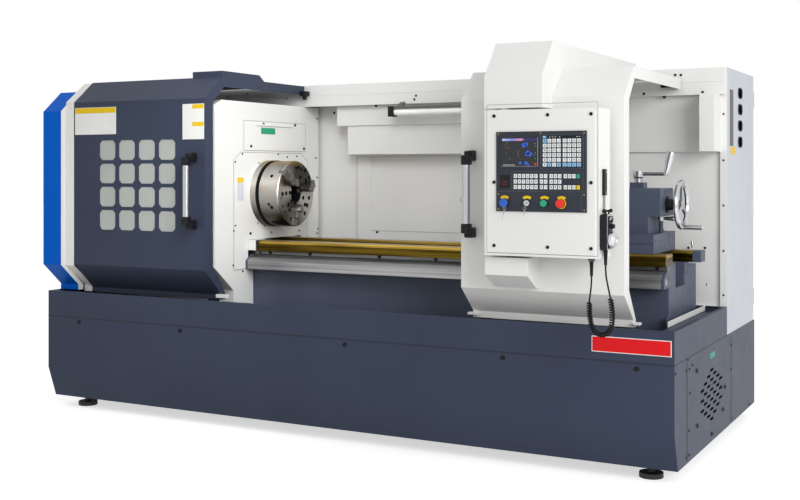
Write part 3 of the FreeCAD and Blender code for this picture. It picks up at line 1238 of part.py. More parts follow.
def key_switch():
    """Key switch: a turned barrel in its ring, with the key standing out of it."""
    body = new_body("key_switch", PANEL_X + " + key_switch_x", PANEL_FRONT, PANEL_Z + " + button_height")
    turn(body, "y", [("stem_in", "0"), ("stem_in", "button_stem"),
                     ("-ring_proud - button_gap", "button_stem"),
                     ("-ring_proud - button_gap", "key_radius"),
                     ("-button_lift", "key_radius"), ("-button_lift", "0")])
    key = rectangle("-key_thick / 2", "-key_tall / 2", "key_thick", "key_tall")
    extrude(body, "front", [key], "-key_out", "key_out - button_lift")


# ---------------------------------------------------------------- handset and cord

HAND_X = "(box_left + box_width + hand_off)"
HAND_LOW = "(plinth_height + tray_height + box_low + hand_low)"
HAND_FACE = "(box_left + box_width + hand_off + hand_thick)"


def handset():
    """Hand pendant hung on the hook: rounded case, face plate, loop and cord boss."""
    body = new_body("handset")
    left = "-hand_reach - hand_wide / 2"
    right = "-hand_reach + hand_wide / 2"
    high = HAND_LOW + " + hand_high"
    case = [(left + " + hand_round", HAND_LOW), (right + " - hand_round", HAND_LOW),
            (right, HAND_LOW + " + hand_round"), (right, high + " - hand_round"),
            (right + " - hand_round", high), (left + " + hand_round", high),
            (left, high + " - hand_round"), (left, HAND_LOW + " + hand_round")]
    extrude(body, "side", [case], HAND_X, "hand_thick - hand_face")
    face = rectangle(left + " + hand_round", HAND_LOW + " + hand_round", "hand_wide - 2 * hand_round",
                     "hand_high - 2 * hand_round")
    extrude(body, "side", [face], HAND_FACE + " - hand_face", "hand_face")
    stem = ("-hand_reach", HAND_LOW + " + dial_low", "knob_stem")
    extrude(body, "side", [stem], HAND_FACE, "dial_thick")
    knob = ("-hand_reach", HAND_LOW + " + knob_high", "knob_radius")
    extrude(body, "side", [knob], HAND_FACE, "knob_long / 2")
    stub = ("-hand_reach", HAND_LOW + " + knob_low", "knob_stem")
    extrude(body, "side", [stub], HAND_FACE, "knob_long / 2")
    boss = (HAND_X + " + hand_thick / 3", "-hand_reach", "relief_radius")
    extrude(body, "top", [boss], HAND_LOW + " - relief_long", "relief_long")


def handset_dial():
    """Pulse dial, bored through to turn on its stem."""
    body = new_body("handset_dial", HAND_FACE + " + slide_gap", "-hand_reach", HAND_LOW + " + dial_low")
    turn(body, "x", [("0", "knob_stem + fit_gap"), ("0", "dial_radius"),
                     ("dial_thick - knob_bevel", "dial_radius"),
                     ("dial_thick", "dial_radius - knob_bevel"), ("dial_thick", "knob_stem + fit_gap")])


def handset_knob():
    """Selector knob with a blind bore, on its stub."""
    body = new_body("handset_knob", HAND_FACE + " + slide_gap", "-hand_reach", HAND_LOW + " + knob_low")
    deep = "knob_long / 2 + 2 * fit_gap"
    turn(body, "x", [("0", "knob_stem + fit_gap"), ("0", "knob_radius"),
                     ("knob_long - knob_bevel", "knob_radius"), ("knob_long", "knob_radius - knob_bevel"),
                     ("knob_long", "0"), (deep, "0"), (deep, "knob_stem + fit_gap")])


def rounded(points):
    """Wire of straight runs joined by tangent arcs, as large as the shorter run allows."""
    edges, radii = [], []
    start = points[0]
    for before, corner, after in zip(points, points[1:], points[2:]):
        back = before - corner
        ahead = after - corner
        reach = 0.45 * min(back.Length, ahead.Length)
        turn_by = math.pi - back.getAngle(ahead)
        radii.append(reach / math.tan(turn_by / 2))
        into = corner + back.normalize() * reach
        out = corner + ahead.normalize() * reach
        bisector = (back + ahead).normalize()
        middle = corner + bisector * (radii[-1] / math.cos(turn_by / 2) - radii[-1])
        edges += [Part.LineSegment(start, into).toShape(), Part.Arc(into, middle, out).toShape()]
        start = out
    edges.append(Part.LineSegment(start, points[-1]).toShape())
    return Part.Wire(edges), radii


def tube(points, radius):
    wire, radii = rounded(points)
    run = points[1] - points[0]
    ring_edge = Part.Wire(Part.Circle(points[0], run, radius).toShape())
    solid = wire.makePipeShell([ring_edge], True, True)
    print("cord: length %.0f, radii from %.0f, volume over section %.4f" % (
        wire.Length, min(radii), solid.Volume / (math.pi * radius ** 2 * wire.Length)))
    return solid


# Course of the cord: the lead from the gland's sleeve, the coiled part and the lead to the handset.
LEAD_DOWN = [(1518, -130, 865), (1518, -130, 829), (1513, -131, 790), (1508.5, -132, 753)]
COIL = [(1508.5, -132, 753), (1509, -132, 715), (1512, -133, 680), (1519, -134, 647), (1533, -136, 623),
        (1554, -138, 611), (1579, -140, 611), (1600, -143, 624), (1613, -146, 648), (1618, -149, 681),
        (1619, -152, 714), (1616, -154, 746), (1611, -155, 776)]
LEAD_UP = [(1611, -155, 776), (1604, -156, 812), (1596, -156, 848), (1590.333, -156, 884),
           (1590.333, -156, 917)]


def handset_cord():
    """Curly cord in a hanging loop: the coiled part, and a plain lead at each end."""
    gland = (BOX_RIGHT + " - gland_in", "-gland_reach", BOX_LOW + " - gland_long - relief_long")
    boss = (HAND_X + " + hand_thick / 3", "-hand_reach", HAND_LOW + " - relief_long")
    start = FreeCAD.Vector(*map(value, gland)) - FreeCAD.Vector(*LEAD_DOWN[0])
    end = FreeCAD.Vector(*map(value, boss)) - FreeCAD.Vector(*LEAD_UP[-1])
    lift = FreeCAD.Vector(0, value(FRONT_Y), value("foot_height"))

    def course(points, before, after):
        """The points, moved with the gland and the handset by their place along the cord."""
        last = len(points) - 1
        shares = [before + (after - before) * step / last for step in range(last + 1)]
        return [FreeCAD.Vector(*point) + lift + start * (1 - share) + end * share
                for point, share in zip(points, shares)]

    leads = [tube(course(LEAD_DOWN, 0, 0), value("cord_radius")),
             tube(course(LEAD_UP, 1, 1), value("cord_radius"))]
    for label, tubes in (("cord_leads", leads),
                         ("cord_coil", [tube(course(COIL, 0, 1), value("coil_radius"))])):
        item = doc.addObject("Part::Feature", label)
        item.Shape = Part.makeCompound(tubes)
        keep(item, label)


# ---------------------------------------------------------------- write

def main():
    base_plinth()
    chip_tray()
    vent_panel()
    levelling_feet()
    blue_end_cover()
    white_end_strip()
    left_end_wall()
    rear_wall()
    top_beam()
    rear_duct()
    work_lamp()
    electrical_cabinet()
    cabinet_door()
    lathe_bed()
    chip_guard_plate()
    screw_cover()
    screw_brackets()
    feed_screw()
    headstock()
    headstock_guard()
    chuck_surround()
    headstock_cover()
    spindle()
    chuck_body()
    for number in range(3):
        chuck_jaw(number)
    saddle()
    cross_slide()
    tool_turret()
    turning_tools()
    tailstock_body()
    tailstock_quill()
    tailstock_handwheel()
    quill_clamp_lever()
    bed_clamp_lever()
    left_door()
    right_door()
    door_handle("left", LEFT_DOOR_END + " - left_handle_in")
    door_handle("right", RIGHT_DOOR + " + right_handle_in")
    door_rollers("left", LEFT_DOOR, "left_door_width", "left_lean", "left_top")
    door_rollers("right", RIGHT_DOOR, "right_door_width", "right_lean", "right_top")
    cable_column()
    lower_bracket()
    control_box()
    control_panel()
    panel_keys()
    push_button("blue_button", "blue_button_x", "stop_radius", "button_proud")
    push_button("green_button", "green_button_x", "button_radius", "button_proud")
    push_button("stop_button", "stop_button_x", "stop_radius", "stop_proud")
    key_switch()
    handset()
    handset_dial()
    handset_knob()
    handset_cord()


main()
doc.recompute()
for item in doc.Objects:
    if "Invalid" in item.State or "Error" in item.State:
        raise RuntimeError("%s failed: %s" % (item.Name, item.State))
for item in cuts:
    if item.Shape.Volume >= item.BaseFeature.Shape.Volume - 1e-6:
        raise RuntimeError("%s cuts nothing" % item.Name)
os.makedirs("parts", exist_ok=True)
for item in parts:
    if item.Shape.isNull() or not item.Shape.isValid():
        raise RuntimeError("%s has no sound shape" % item.Label)
    item.Shape.exportStep("parts/%s.step" % item.Label)
print(len(parts), "parts written")
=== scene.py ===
import bpy
import bmesh
import math
from mathutils import Matrix, Vector


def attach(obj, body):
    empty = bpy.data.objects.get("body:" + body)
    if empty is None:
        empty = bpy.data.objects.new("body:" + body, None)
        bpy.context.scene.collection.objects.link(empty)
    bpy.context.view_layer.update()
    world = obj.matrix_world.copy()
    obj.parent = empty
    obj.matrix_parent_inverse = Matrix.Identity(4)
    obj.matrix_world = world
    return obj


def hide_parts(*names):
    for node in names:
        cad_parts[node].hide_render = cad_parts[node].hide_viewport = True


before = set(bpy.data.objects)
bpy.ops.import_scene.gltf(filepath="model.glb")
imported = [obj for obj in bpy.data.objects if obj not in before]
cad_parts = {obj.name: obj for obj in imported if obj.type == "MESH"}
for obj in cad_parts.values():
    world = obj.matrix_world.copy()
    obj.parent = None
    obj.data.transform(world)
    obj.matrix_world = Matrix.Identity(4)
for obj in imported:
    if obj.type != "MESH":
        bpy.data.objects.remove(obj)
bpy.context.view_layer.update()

# ---------------- camera
# A level camera at chest height, off the machine's right-hand corner, so that the long front and the
# right end both show. The picture is shifted down a little instead of tilted, so uprights stay upright.
camera = bpy.data.objects.new("camera", bpy.data.cameras.new("camera"))
bpy.context.collection.objects.link(camera)
camera.location = (3.134, -5.705, 1.396)
camera.rotation_euler = (math.radians(90), 0, math.radians(28.1))
camera.data.sensor_width = 36
camera.data.lens = 51.3
camera.data.shift_y = -0.1003
camera.data.clip_end = 200
bpy.context.scene.camera = camera


# ---------------- handset cord
# Black rubber cord of the hand pendant: a plain lead out of the gland under the control box, a long
# coiled part that hangs in a loop, and a plain lead up into the pendant's sleeve.
BASE_FRONT, BASE_UNDERSIDE = -0.763, 0.065


def at(x, depth, height):
    """A place given along the bed, back from the base's front face and up from the base's underside."""
    return Vector((x, depth + BASE_FRONT, height + BASE_UNDERSIDE))


def node_of(tree, kind, settings=None, **sources):
    """A shader node of this kind, with its settings by name and its sockets linked to sources."""
    item = tree.nodes.new("ShaderNode" + kind)
    for name, number in (settings or {}).items():
        if name in item.inputs:
            item.inputs[name].default_value = number
        else:
            setattr(item, name, number)
    for name, source in sources.items():
        tree.links.new(source, item.inputs[name.replace("_", " ")])
    return item


def shade(code):
    """A colour code as it shows on a screen, turned into the light it stands for."""
    parts = [int(code[i:i + 2], 16) / 255 for i in (0, 2, 4)]
    return tuple(p / 12.92 if p <= 0.04045 else ((p + 0.055) / 1.055) ** 2.4 for p in parts) + (1.0,)


def cloudy(tree, scale, low, high, detail=4.0, stretch=(1, 1, 1)):
    """Noise in the object's own space, spread from 0 at low to 1 at high."""
    place = node_of(tree, "TexCoord").outputs["Object"]
    drawn = node_of(tree, "Mapping", {"Scale": stretch}, Vector=place).outputs["Vector"]
    noise = node_of(tree, "TexNoise", {"Scale": scale, "Detail": detail}, Vector=drawn).outputs["Fac"]
    return node_of(tree, "MapRange", {"From Min": low, "From Max": high}, Value=noise).outputs["Result"]


def finish(name, main, other, rough, rough_to, cloud=20.0, grain=700.0, bump=0.05, metal=0.0,
           stretch=(1, 1, 1), mirror=0.5):
    """A surface of two near tones in clouds, with uneven gloss and a fine grain that catches the light."""
    material = bpy.data.materials.new(name)
    material.use_nodes = True
    tree = material.node_tree
    shader = tree.nodes["Principled BSDF"]
    clouds = cloudy(tree, cloud, 0.3, 0.7, stretch=stretch)
    tones = node_of(tree, "MixRGB", {"Color1": shade(main), "Color2": shade(other)}, Fac=clouds)
    tree.links.new(tones.outputs["Color"], shader.inputs["Base Color"])
    patches = cloudy(tree, cloud * 7, 0.3, 0.7, stretch=stretch)
    gloss = node_of(tree, "MapRange", {"To Min": rough, "To Max": rough_to}, Value=patches)
    tree.links.new(gloss.outputs["Result"], shader.inputs["Roughness"])
    fine = cloudy(tree, grain, 0.2, 0.8, detail=2.0, stretch=stretch)
    relief = node_of(tree, "Bump", {"Strength": bump, "Distance": 0.0003}, Height=fine)
    tree.links.new(relief.outputs["Normal"], shader.inputs["Normal"])
    shader.inputs["Metallic"].default_value = metal
    shader.inputs["Specular IOR Level"].default_value = mirror
    return material


def spline_through(name, places):
    """An open smooth curve with these places as its control points."""
    curve = bpy.data.curves.new(name, "CURVE")
    curve.dimensions = "3D"
    run = curve.splines.new("NURBS")
    run.points.add(len(places) - 1)
    for point, place in zip(run.points, places):
        point.co = (*place, 1)
    run.order_u = 3
    run.use_endpoint_u = True
    run.resolution_u = 4
    item = bpy.data.objects.new(name, curve)
    bpy.context.collection.objects.link(item)
    return item


def peg(mesh, foot, facing, radius, long, far=None, sides=24):
    """A round peg that stands on its foot and points along facing."""
    turned = Vector(facing).to_track_quat("Z", "Y").to_matrix().to_4x4()
    place = Matrix.Translation(at(*foot)) @ turned @ Matrix.Translation((0, 0, long / 2))
    return bmesh.ops.create_cone(mesh, cap_ends=True, segments=sides, radius1=radius,
                                 radius2=radius if far is None else far, depth=long, matrix=place)["verts"]


def finished(name, mesh, material, body, smooth=False):
    """The mesh as a piece of the machine that moves with this body."""
    data = bpy.data.meshes.new(name)
    mesh.to_mesh(data)
    mesh.free()
    data.materials.append(material)
    if smooth:
        data.shade_smooth()
        data.set_sharp_from_angle(angle=math.radians(35))
    item = bpy.data.objects.new(name, data)
    bpy.context.collection.objects.link(item)
    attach(item, body)
    return item


def line_of(curve):
    """The places along a curve that has no thickness yet."""
    flat = curve.evaluated_get(bpy.context.evaluated_depsgraph_get())
    return [v.co.copy() for v in bpy.data.meshes.new_from_object(flat).vertices]


rubber = finish("cord_rubber", "101012", "17171a", 0.42, 0.58, cloud=40, grain=1400, bump=0.15,
                mirror=0.18)


def sleeve(name, foot, facing, radius, long, far, ribs):
    """A ribbed rubber sleeve that tapers along the cord."""
    mesh = bmesh.new()
    pitch = long / ribs
    for rib in range(ribs):
        here = Vector(foot) + Vector(facing) * pitch * rib
        wide = radius + (far - radius) * rib / (ribs - 1)
        peg(mesh, here, facing, wide, pitch * 0.62, wide * 0.96, 20)
        peg(mesh, here + Vector(facing) * pitch * 0.6, facing, wide * 0.84, pitch * 0.42, wide * 0.84, 20)
    return finished(name, mesh, rubber, "control_box", True)


DOWN = (0, 0, -1)
gland_sleeve = sleeve("gland_sleeve", (1.518, -0.130, 0.925), DOWN, 0.0094, 0.060, 0.0064, 9)
pendant_sleeve = sleeve("pendant_sleeve", (1.590333, -0.156, 0.983), DOWN, 0.0108, 0.066, 0.0064, 9)
gland_nut = bmesh.new()
peg(gland_nut, (1.518, -0.130, 0.945), DOWN, 0.0185, 0.006, sides=6)
peg(gland_nut, (1.518, -0.130, 0.939), DOWN, 0.0175, 0.015, 0.0096, 28)
finished("gland_nut", gland_nut, rubber, "control_box", True)

CORD_RADIUS = 0.0038
TURNS = 32
TURN_RADIUS = 0.0092
lead_down = [at(*p) for p in (
    (1.518, -0.130, 0.865), (1.518, -0.130, 0.829), (1.513, -0.131, 0.790), (1.5085, -0.132, 0.753))]
coil_course = [at(*p) for p in (
    (1.5085, -0.132, 0.753), (1.509, -0.132, 0.715), (1.512, -0.133, 0.680), (1.519, -0.134, 0.647),
    (1.533, -0.136, 0.623), (1.554, -0.138, 0.611), (1.579, -0.140, 0.611), (1.600, -0.143, 0.624),
    (1.613, -0.146, 0.648), (1.618, -0.149, 0.681), (1.619, -0.152, 0.714), (1.616, -0.154, 0.746),
    (1.611, -0.155, 0.776))]
lead_up = [at(*p) for p in (
    (1.611, -0.155, 0.776), (1.604, -0.156, 0.812), (1.596, -0.156, 0.848), (1.590333, -0.156, 0.884),
    (1.590333, -0.156, 0.917))]

middle_line = spline_through("coil_middle", coil_course)
line = line_of(middle_line)
bpy.data.objects.remove(middle_line)
walked = [0.0]
for a, b in zip(line, line[1:]):
    walked.append(walked[-1] + (b - a).length)

helix = []
STEPS_PER_TURN = 14
STEPS = TURNS * STEPS_PER_TURN
EASED_STEPS = 10
side = Vector((0, 1, 0))
for step in range(STEPS + 1):
    along = walked[-1] * step / STEPS
    k = max(i for i in range(len(line) - 1) if walked[i] <= along or i == 0)
    ahead = (line[k + 1] - line[k]).normalized()
    place = line[k] + ahead * (along - walked[k])
    side = (side - ahead * side.dot(ahead)).normalized()
    over = ahead.cross(side)
    turn = 2 * math.pi * TURNS * step / STEPS
    reach = TURN_RADIUS * min(1.0, step / EASED_STEPS, (STEPS - step) / EASED_STEPS)
    helix.append(place + (side * math.cos(turn) + over * math.sin(turn)) * reach)

cord = spline_through("handset_cord", lead_down[:-1] + helix + lead_up[1:])
wire = line_of(cord)
cord.data.bevel_depth = CORD_RADIUS
cord.data.bevel_resolution = 3
cord.data.materials.append(rubber)
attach(cord, "control_box")
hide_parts("cord_leads", "cord_coil")


# ---------------- base and chip tray
# The base is a welded plinth of thick sheet with a chip tray standing on it, both sprayed a dark slate
# blue over a light orange peel. Round-headed socket screws hold the front and the right end.
def dress(name, material, ease=0.0008):
    """Cleans a solid's mesh, eases its edges and gives it its finish."""
    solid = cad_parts[name]
    solid.data.materials.clear()
    solid.data.materials.append(material)
    for polygon in solid.data.polygons:
        polygon.use_smooth = True
    weld = solid.modifiers.new("weld", "WELD")
    weld.merge_threshold = 0.00001
    merge = solid.modifiers.new("merge", "DECIMATE")
    merge.decimate_type = "DISSOLVE"
    merge.delimit = {"MATERIAL"}
    merge.angle_limit = math.radians(0.5)
    edge = solid.modifiers.new("edge", "BEVEL")
    edge.width = ease
    edge.segments = 2
    edge.limit_method = "ANGLE"
    edge.angle_limit = math.radians(35)
    even = solid.modifiers.new("even", "WEIGHTED_NORMAL")
    even.weight = 100


def tint(name, material, low, high):
    """Gives the faces of a solid that lie between two corners a finish of their own."""
    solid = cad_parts[name]
    if solid.data.materials.find(material.name) < 0:
        solid.data.materials.append(material)
    number = solid.data.materials.find(material.name)
    low, high = at(*low), at(*high)
    inside = {v.index for v in solid.data.vertices if all(low[k] <= v.co[k] <= high[k] for k in range(3))}
    for polygon in solid.data.polygons:
        if inside.issuperset(polygon.vertices):
            polygon.material_index = number


def block(mesh, low, high, ease=0.0):
    """A box between two corners, in the machine's own measures, with its edges eased."""
    low, high = at(*low), at(*high)
    size = Matrix.Diagonal((*(high - low), 1))
    made = bmesh.ops.create_cube(mesh, size=1, matrix=Matrix.Translation((low + high) / 2) @ size)
    if ease:
        edges = list(dict.fromkeys(e for v in made["verts"] for e in v.link_edges))
        bmesh.ops.bevel(mesh, geom=edges, offset=ease, segments=2, profile=0.5,
                        affect="EDGES", material=-1)


def slab(name, low, high, ease, material, body):
    """A piece that is one eased box, such as a bare name plate."""
    mesh = bmesh.new()
    block(mesh, low, high, ease)
    finished(name, mesh, material, body)


def screw(mesh, foot, facing, radius):
    """A round-headed screw with a socket sunk in its head."""
    made = peg(mesh, foot, facing, radius, radius * 0.55, radius * 0.8, sides=18)
    outward = Vector(facing).normalized()
    top = max({f for v in made for f in v.link_faces}, key=lambda f: f.calc_center_median().dot(outward))
    bmesh.ops.inset_region(mesh, faces=[top], thickness=radius * 0.35, depth=0)
    bmesh.ops.inset_region(mesh, faces=[top], thickness=radius * 0.04, depth=-radius * 0.4)


def bead(mesh, places, radius, closed=True):
    """A fine joint line that runs from place to place."""
    for here, there in zip(places, places[1:] + places[:1] if closed else places[1:]):
        run = Vector(there) - Vector(here)
        peg(mesh, here, run, radius, run.length, radius, 6)


def swept(mesh, centre, facing, profile, start=0.0, turn=360.0, steps=48):
    """A profile of places along and out from an axis, carried round it by this many degrees."""
    aim = Vector(facing).to_track_quat("Z", "Y").to_matrix().to_4x4()
    rows = []
    for step in range(steps + 1):
        spin = Matrix.Rotation(math.radians(start + turn * step / steps), 4, "Z")
        place = Matrix.Translation(at(*centre)) @ aim @ spin
        rows.append([mesh.verts.new(place @ Vector((out, 0, along))) for along, out in profile])
    made = [mesh.faces.new((a[k], a[k - 1], b[k - 1], b[k]))
            for a, b in zip(rows, rows[1:]) for k in range(len(profile))]
    if turn < 360:
        made += [mesh.faces.new(rows[0]), mesh.faces.new(rows[-1])]
    bmesh.ops.remove_doubles(mesh, verts=mesh.verts, dist=0.00001)
    bmesh.ops.recalc_face_normals(mesh, faces=[f for f in made if f.is_valid])


slate = finish("slate_paint", "353c4e", "394153", 0.42, 0.46, cloud=1.6, grain=420, bump=0.12,
               mirror=0.14)
dress("base_plinth", slate, 0.003)
dress("chip_tray", slate, 0.0012)
dress("vent_panel", slate, 0.0006)
black_steel_and_hole_shade = finish("black_screws_and_hole_shade", "111214", "18191c", 0.35, 0.5, cloud=60, grain=900, bump=0.1,
                     metal=0.2, mirror=0.3)

FRONT, RIGHT = (0, -1, 0), (1, 0, 0)
RIGHT_END = 1.85
front_screws = bmesh.new()
for x in (-1.609, -0.870, 0.180, 1.042, 1.682):
    screw(front_screws, (x, 0, 0.450), FRONT, 0.0115)
for depth, height in (
        (0.209, 0.423), (0.266, 0.422), (0.325, 0.432), (0.233, 0.470), (0.018, 0.439), (0.275, 0.311),
        (1.150, 0.027), (1.150, 0.414), (1.150, 0.286), (0.258, 0.143), (0.258, 0.032), (0.209, 0.029),
        (1.623, 0.015)):
    screw(front_screws, (RIGHT_END, depth, height), RIGHT, 0.0065)
for depth, height in ((0.403, 0.393), (0.999, 0.219), (0.957, 0.111), (0.412, 0.135), (0.706, 0.037)):
    screw(front_screws, (RIGHT_END, depth, height), RIGHT, 0.0115)
finished("base_screws", front_screws, black_steel_and_hole_shade, "frame", True)

joint_dark = finish("joint_dark", "14181f", "1b2028", 0.5, 0.6, bump=0.1)
joints = bmesh.new()
bead(joints, [(-1.85, -0.0004, 0.4752), (1.8504, -0.0004, 0.4752), (1.8504, 1.740, 0.4752)], 0.0022,
     closed=False)
for depth in (0.221, 1.148):
    bead(joints, [(1.8502, depth, 0.010), (1.8502, depth, 0.462)], 0.0013, closed=False)
finished("base_joints", joints, joint_dark, "frame")

red = finish("red_plate", "d90f18", "d20c15", 0.25, 0.33, cloud=3, bump=0.04, mirror=0.2)
plate_white = finish("plate_white", "e9e9e6", "e2e2de", 0.3, 0.4, cloud=9)
slab("name_plate_border", (1.475, -0.0016, 0.513), (1.838, 0, 0.584), 0.0006,
     plate_white, "frame")
slab("name_plate_field", (1.4785, -0.0022, 0.5165), (1.8345, -0.0012, 0.5805), 0.0003,
     red, "frame")

teal = finish("teal_plate", "0a8c82", "088077", 0.35, 0.45, cloud=10, mirror=0.2)
slab("pump_plate", (RIGHT_END, 0.658, 0.409), (1.8512, 0.775, 0.436), 0.0004, teal, "frame")

foot_rubber = finish("foot_rubber", "1b1c1e", "26272a", 0.55, 0.7, grain=500, bump=0.3)
dress("levelling_feet", foot_rubber, 0.002)


# ---------------- fixed covers
# Folded sheet-steel covers of the left end: a bright blue one that wraps the front corner, a white strip
# beside it and the white end wall. All are powder coated, with a soft even gloss.
blue = finish("blue_paint", "005fca", "005abd", 0.38, 0.46, cloud=1.8, grain=420, bump=0.1, mirror=0.05)
white = finish("white_paint", "e6e6e4", "e1e1de", 0.32, 0.42, cloud=1.4, grain=420, bump=0.08)
dress("blue_end_cover", blue)
tint("blue_end_cover", white, (-1.7135, -0.041, 0.6), (-1.7095, 0.141, 1.8))
dress("white_end_strip", white)
dress("left_end_wall", white)


# ---------------- enclosure
# The back of the working space: rear wall, cable duct and the hollow beam that carries the doors, all in
# folded white sheet, with a strip lamp hung in front of the beam.
for name in ("rear_wall", "top_beam", "rear_duct"):
    dress(name, white)
black = finish("black_plastic", "131316", "1b1b1f", 0.38, 0.52, cloud=25, grain=900, bump=0.12,
               mirror=0.2)
lamp_metal = finish("lamp_metal", "5c5d5a", "6c6d69", 0.3, 0.42, cloud=12, grain=600, bump=0.1,
                    metal=0.8, stretch=(0.1, 1, 1))
dress("lamp_housing", lamp_metal, 0.001)
for x in (-0.071, 0.655):
    tint("lamp_housing", black, (x, 0.9, 1.6), (x + 0.036, 0.97, 1.71))
glass_tube = finish("lamp_glass", "f4f5f2", "eceeea", 0.12, 0.2, cloud=10, grain=600, bump=0.02)
glass_sockets = glass_tube.node_tree.nodes["Principled BSDF"].inputs
glass_sockets["Emission Color"].default_value = (1, 1, 0.97, 1)
glass_sockets["Emission Strength"].default_value = 0.12
dress("lamp_tube", glass_tube)

# Grey lines along the rear wall's fold and the post's edge paint the shade there.
wall_fold_shade = bmesh.new()
bead(wall_fold_shade, [(-0.440, 1.1858, 0.560), (-0.440, 1.1858, 1.410)], 0.0014, closed=False)
bead(wall_fold_shade, [(-0.340, 1.1995, 0.955), (1.079, 1.1995, 0.955)], 0.0016, closed=False)
wall_shade_grey = finish("fold_shade_grey", "a3a29e", "999894", 0.5, 0.6, bump=0.1)
finished("wall_fold_shade", wall_fold_shade, wall_shade_grey, "frame")
slab("rear_wall_post", (-0.440, 1.186, 0.30), (-0.340, 1.2, 1.412), 0.002, white, "frame")

wall_screws = bmesh.new()
for x, height in (
        (0.068, 1.766), (0.057, 1.744), (1.427, 1.734), (1.737, 1.733), (1.594, 1.827), (1.624, 1.826)):
    screw(wall_screws, (x, 1.0, height), FRONT, 0.007)
for x, height in ((1.732, 0.922), (1.646, 0.920)):
    screw(wall_screws, (x, 1.071, height), FRONT, 0.007)
for x, height in ((-0.306, 0.946), (-0.615, 1.690)):
    screw(wall_screws, (x, 1.2, height), FRONT, 0.008)
for x in (-0.215, 1.530):
    peg(wall_screws, (x, 1.025, 1.720), DOWN, 0.010, 0.006)
    peg(wall_screws, (x, 1.025, 1.714), DOWN, 0.006, 0.008, 0.004)
finished("wall_screws", wall_screws, black_steel_and_hole_shade, "frame", True)


# ---------------- electrical cabinet
# Tall pale grey cabinet of folded sheet on the back of the plinth, white where it faces the working
# space, with oval air slots punched in its right side and a rear door on two knuckle hinges.
cabinet_paint = finish("cabinet_paint", "c0c5cc", "b9bec6", 0.32, 0.42, cloud=1.4, grain=420, bump=0.08)
dress("electrical_cabinet", cabinet_paint)
dress("cabinet_door", cabinet_paint)
tint("electrical_cabinet", white, (0.9, 0.85, 0.4), (1.8505, 1.08, 1.87))
cabinet_screws = bmesh.new()
for height in (1.620, 1.380, 1.146, 0.911, 0.682):
    screw(cabinet_screws, (1.832, 1.051, height), FRONT, 0.0055)
finished("cabinet_screws", cabinet_screws, black_steel_and_hole_shade, "frame", True)

grey_plate = finish("grey_plate", "34363a", "3c3f44", 0.35, 0.45, cloud=30)
yellow_plate = finish("yellow_plate", "e6c21c", "deb917", 0.35, 0.45, mirror=0.2)
slab("cabinet_plate", (RIGHT_END, 1.118, 1.456), (1.8512, 1.200, 1.752), 0.0005,
     grey_plate, "frame")
slab("cabinet_yellow_plate", (RIGHT_END, 1.136, 1.412), (1.8512, 1.250, 1.452), 0.0005,
     yellow_plate, "frame")
# Black rims traced round each slot paint the shade inside it and give the slot its oval outline.
slot_shade_rims = bmesh.new()
for step in range(4):
    middle, half = 1.453 + 0.0275 + 0.088 * step, 0.0275
    rim = []
    for centre, start in ((1.424 - half, -90), (1.324 + half, 90)):
        for turn in range(0, 181, 20):
            angle = math.radians(start + turn)
            rim.append((1.851, centre + half * math.cos(angle), middle + half * math.sin(angle)))
    bead(slot_shade_rims, rim, 0.0028)
finished("slot_shade_rims", slot_shade_rims, black, "frame", True)


# ---------------- bed
# The bed is a grey iron casting, painted blue grey, with two flame-hardened ways of a golden brown,
# painted lighter on their tops as a painted highlight and darker on their front flanks as painted shade.
# A folded stainless cover hides the feed screw along its front.
def reckon(tree, operation, *terms):
    """The result of a sum whose terms are sockets or plain numbers."""
    item = node_of(tree, "Math", {"operation": operation})
    for socket, term in zip(item.inputs, terms):
        if isinstance(term, float):
            socket.default_value = term
        else:
            tree.links.new(term, socket)
    return item.outputs[0]


def between(tree, axis, low, high):
    """1 where the object's own space lies between two places along an axis, and 0 elsewhere."""
    place = node_of(tree, "TexCoord").outputs["Object"]
    part = node_of(tree, "SeparateXYZ", Vector=place).outputs[axis]
    return reckon(tree, "MULTIPLY", reckon(tree, "GREATER_THAN", part, low),
                  reckon(tree, "LESS_THAN", part, high))


casting = finish("casting_paint", "474e5f", "4e5669", 0.38, 0.5, cloud=2.5, grain=260, bump=0.25,
                 mirror=0.3)
bed_paint = casting.copy()
bed_paint.name = "bed_casting"
WAY_FOOT = at(0, 0, 0.8685).z
tree = bed_paint.node_tree
paint_shader = tree.nodes["Principled BSDF"]
gold_shader = node_of(tree, "BsdfPrincipled", {"Metallic": 1.0})
streaks = cloudy(tree, 60, 0.36, 0.64, stretch=(0.02, 1, 1))
# Lighter gold on the ways' tops is a painted highlight; darker gold on their front flanks is painted
# shade.
highlit_top_gold = node_of(tree, "MixRGB", {"Color1": shade("d6b352"), "Color2": shade("6a5014")}, Fac=streaks)
shaded_flank_gold = node_of(tree, "MixRGB", {"Color1": shade("66521a"), "Color2": shade("292009")}, Fac=streaks)
highlight_and_shade_split = node_of(tree, "MixRGB", Fac=between(tree, "Z", at(0, 0, 0.9105).z, 2.0),
                 Color1=shaded_flank_gold.outputs["Color"], Color2=highlit_top_gold.outputs["Color"])
tree.links.new(highlight_and_shade_split.outputs["Color"], gold_shader.inputs["Base Color"])
lay = cloudy(tree, 300, 0.3, 0.7, stretch=(0.02, 1, 1))
tree.links.new(node_of(tree, "MapRange", {"To Min": 0.24, "To Max": 0.4}, Value=lay).outputs["Result"],
               gold_shader.inputs["Roughness"])
lay_relief = node_of(tree, "Bump", {"Strength": 0.12, "Distance": 0.0002}, Height=lay)
tree.links.new(lay_relief.outputs["Normal"], gold_shader.inputs["Normal"])
on_way = reckon(tree, "MULTIPLY", between(tree, "Z", WAY_FOOT, 2.0), between(tree, "X", -3.0, 1.736))
either = node_of(tree, "MixShader", Fac=on_way)
tree.links.new(paint_shader.outputs[0], either.inputs[1])
tree.links.new(gold_shader.outputs[0], either.inputs[2])
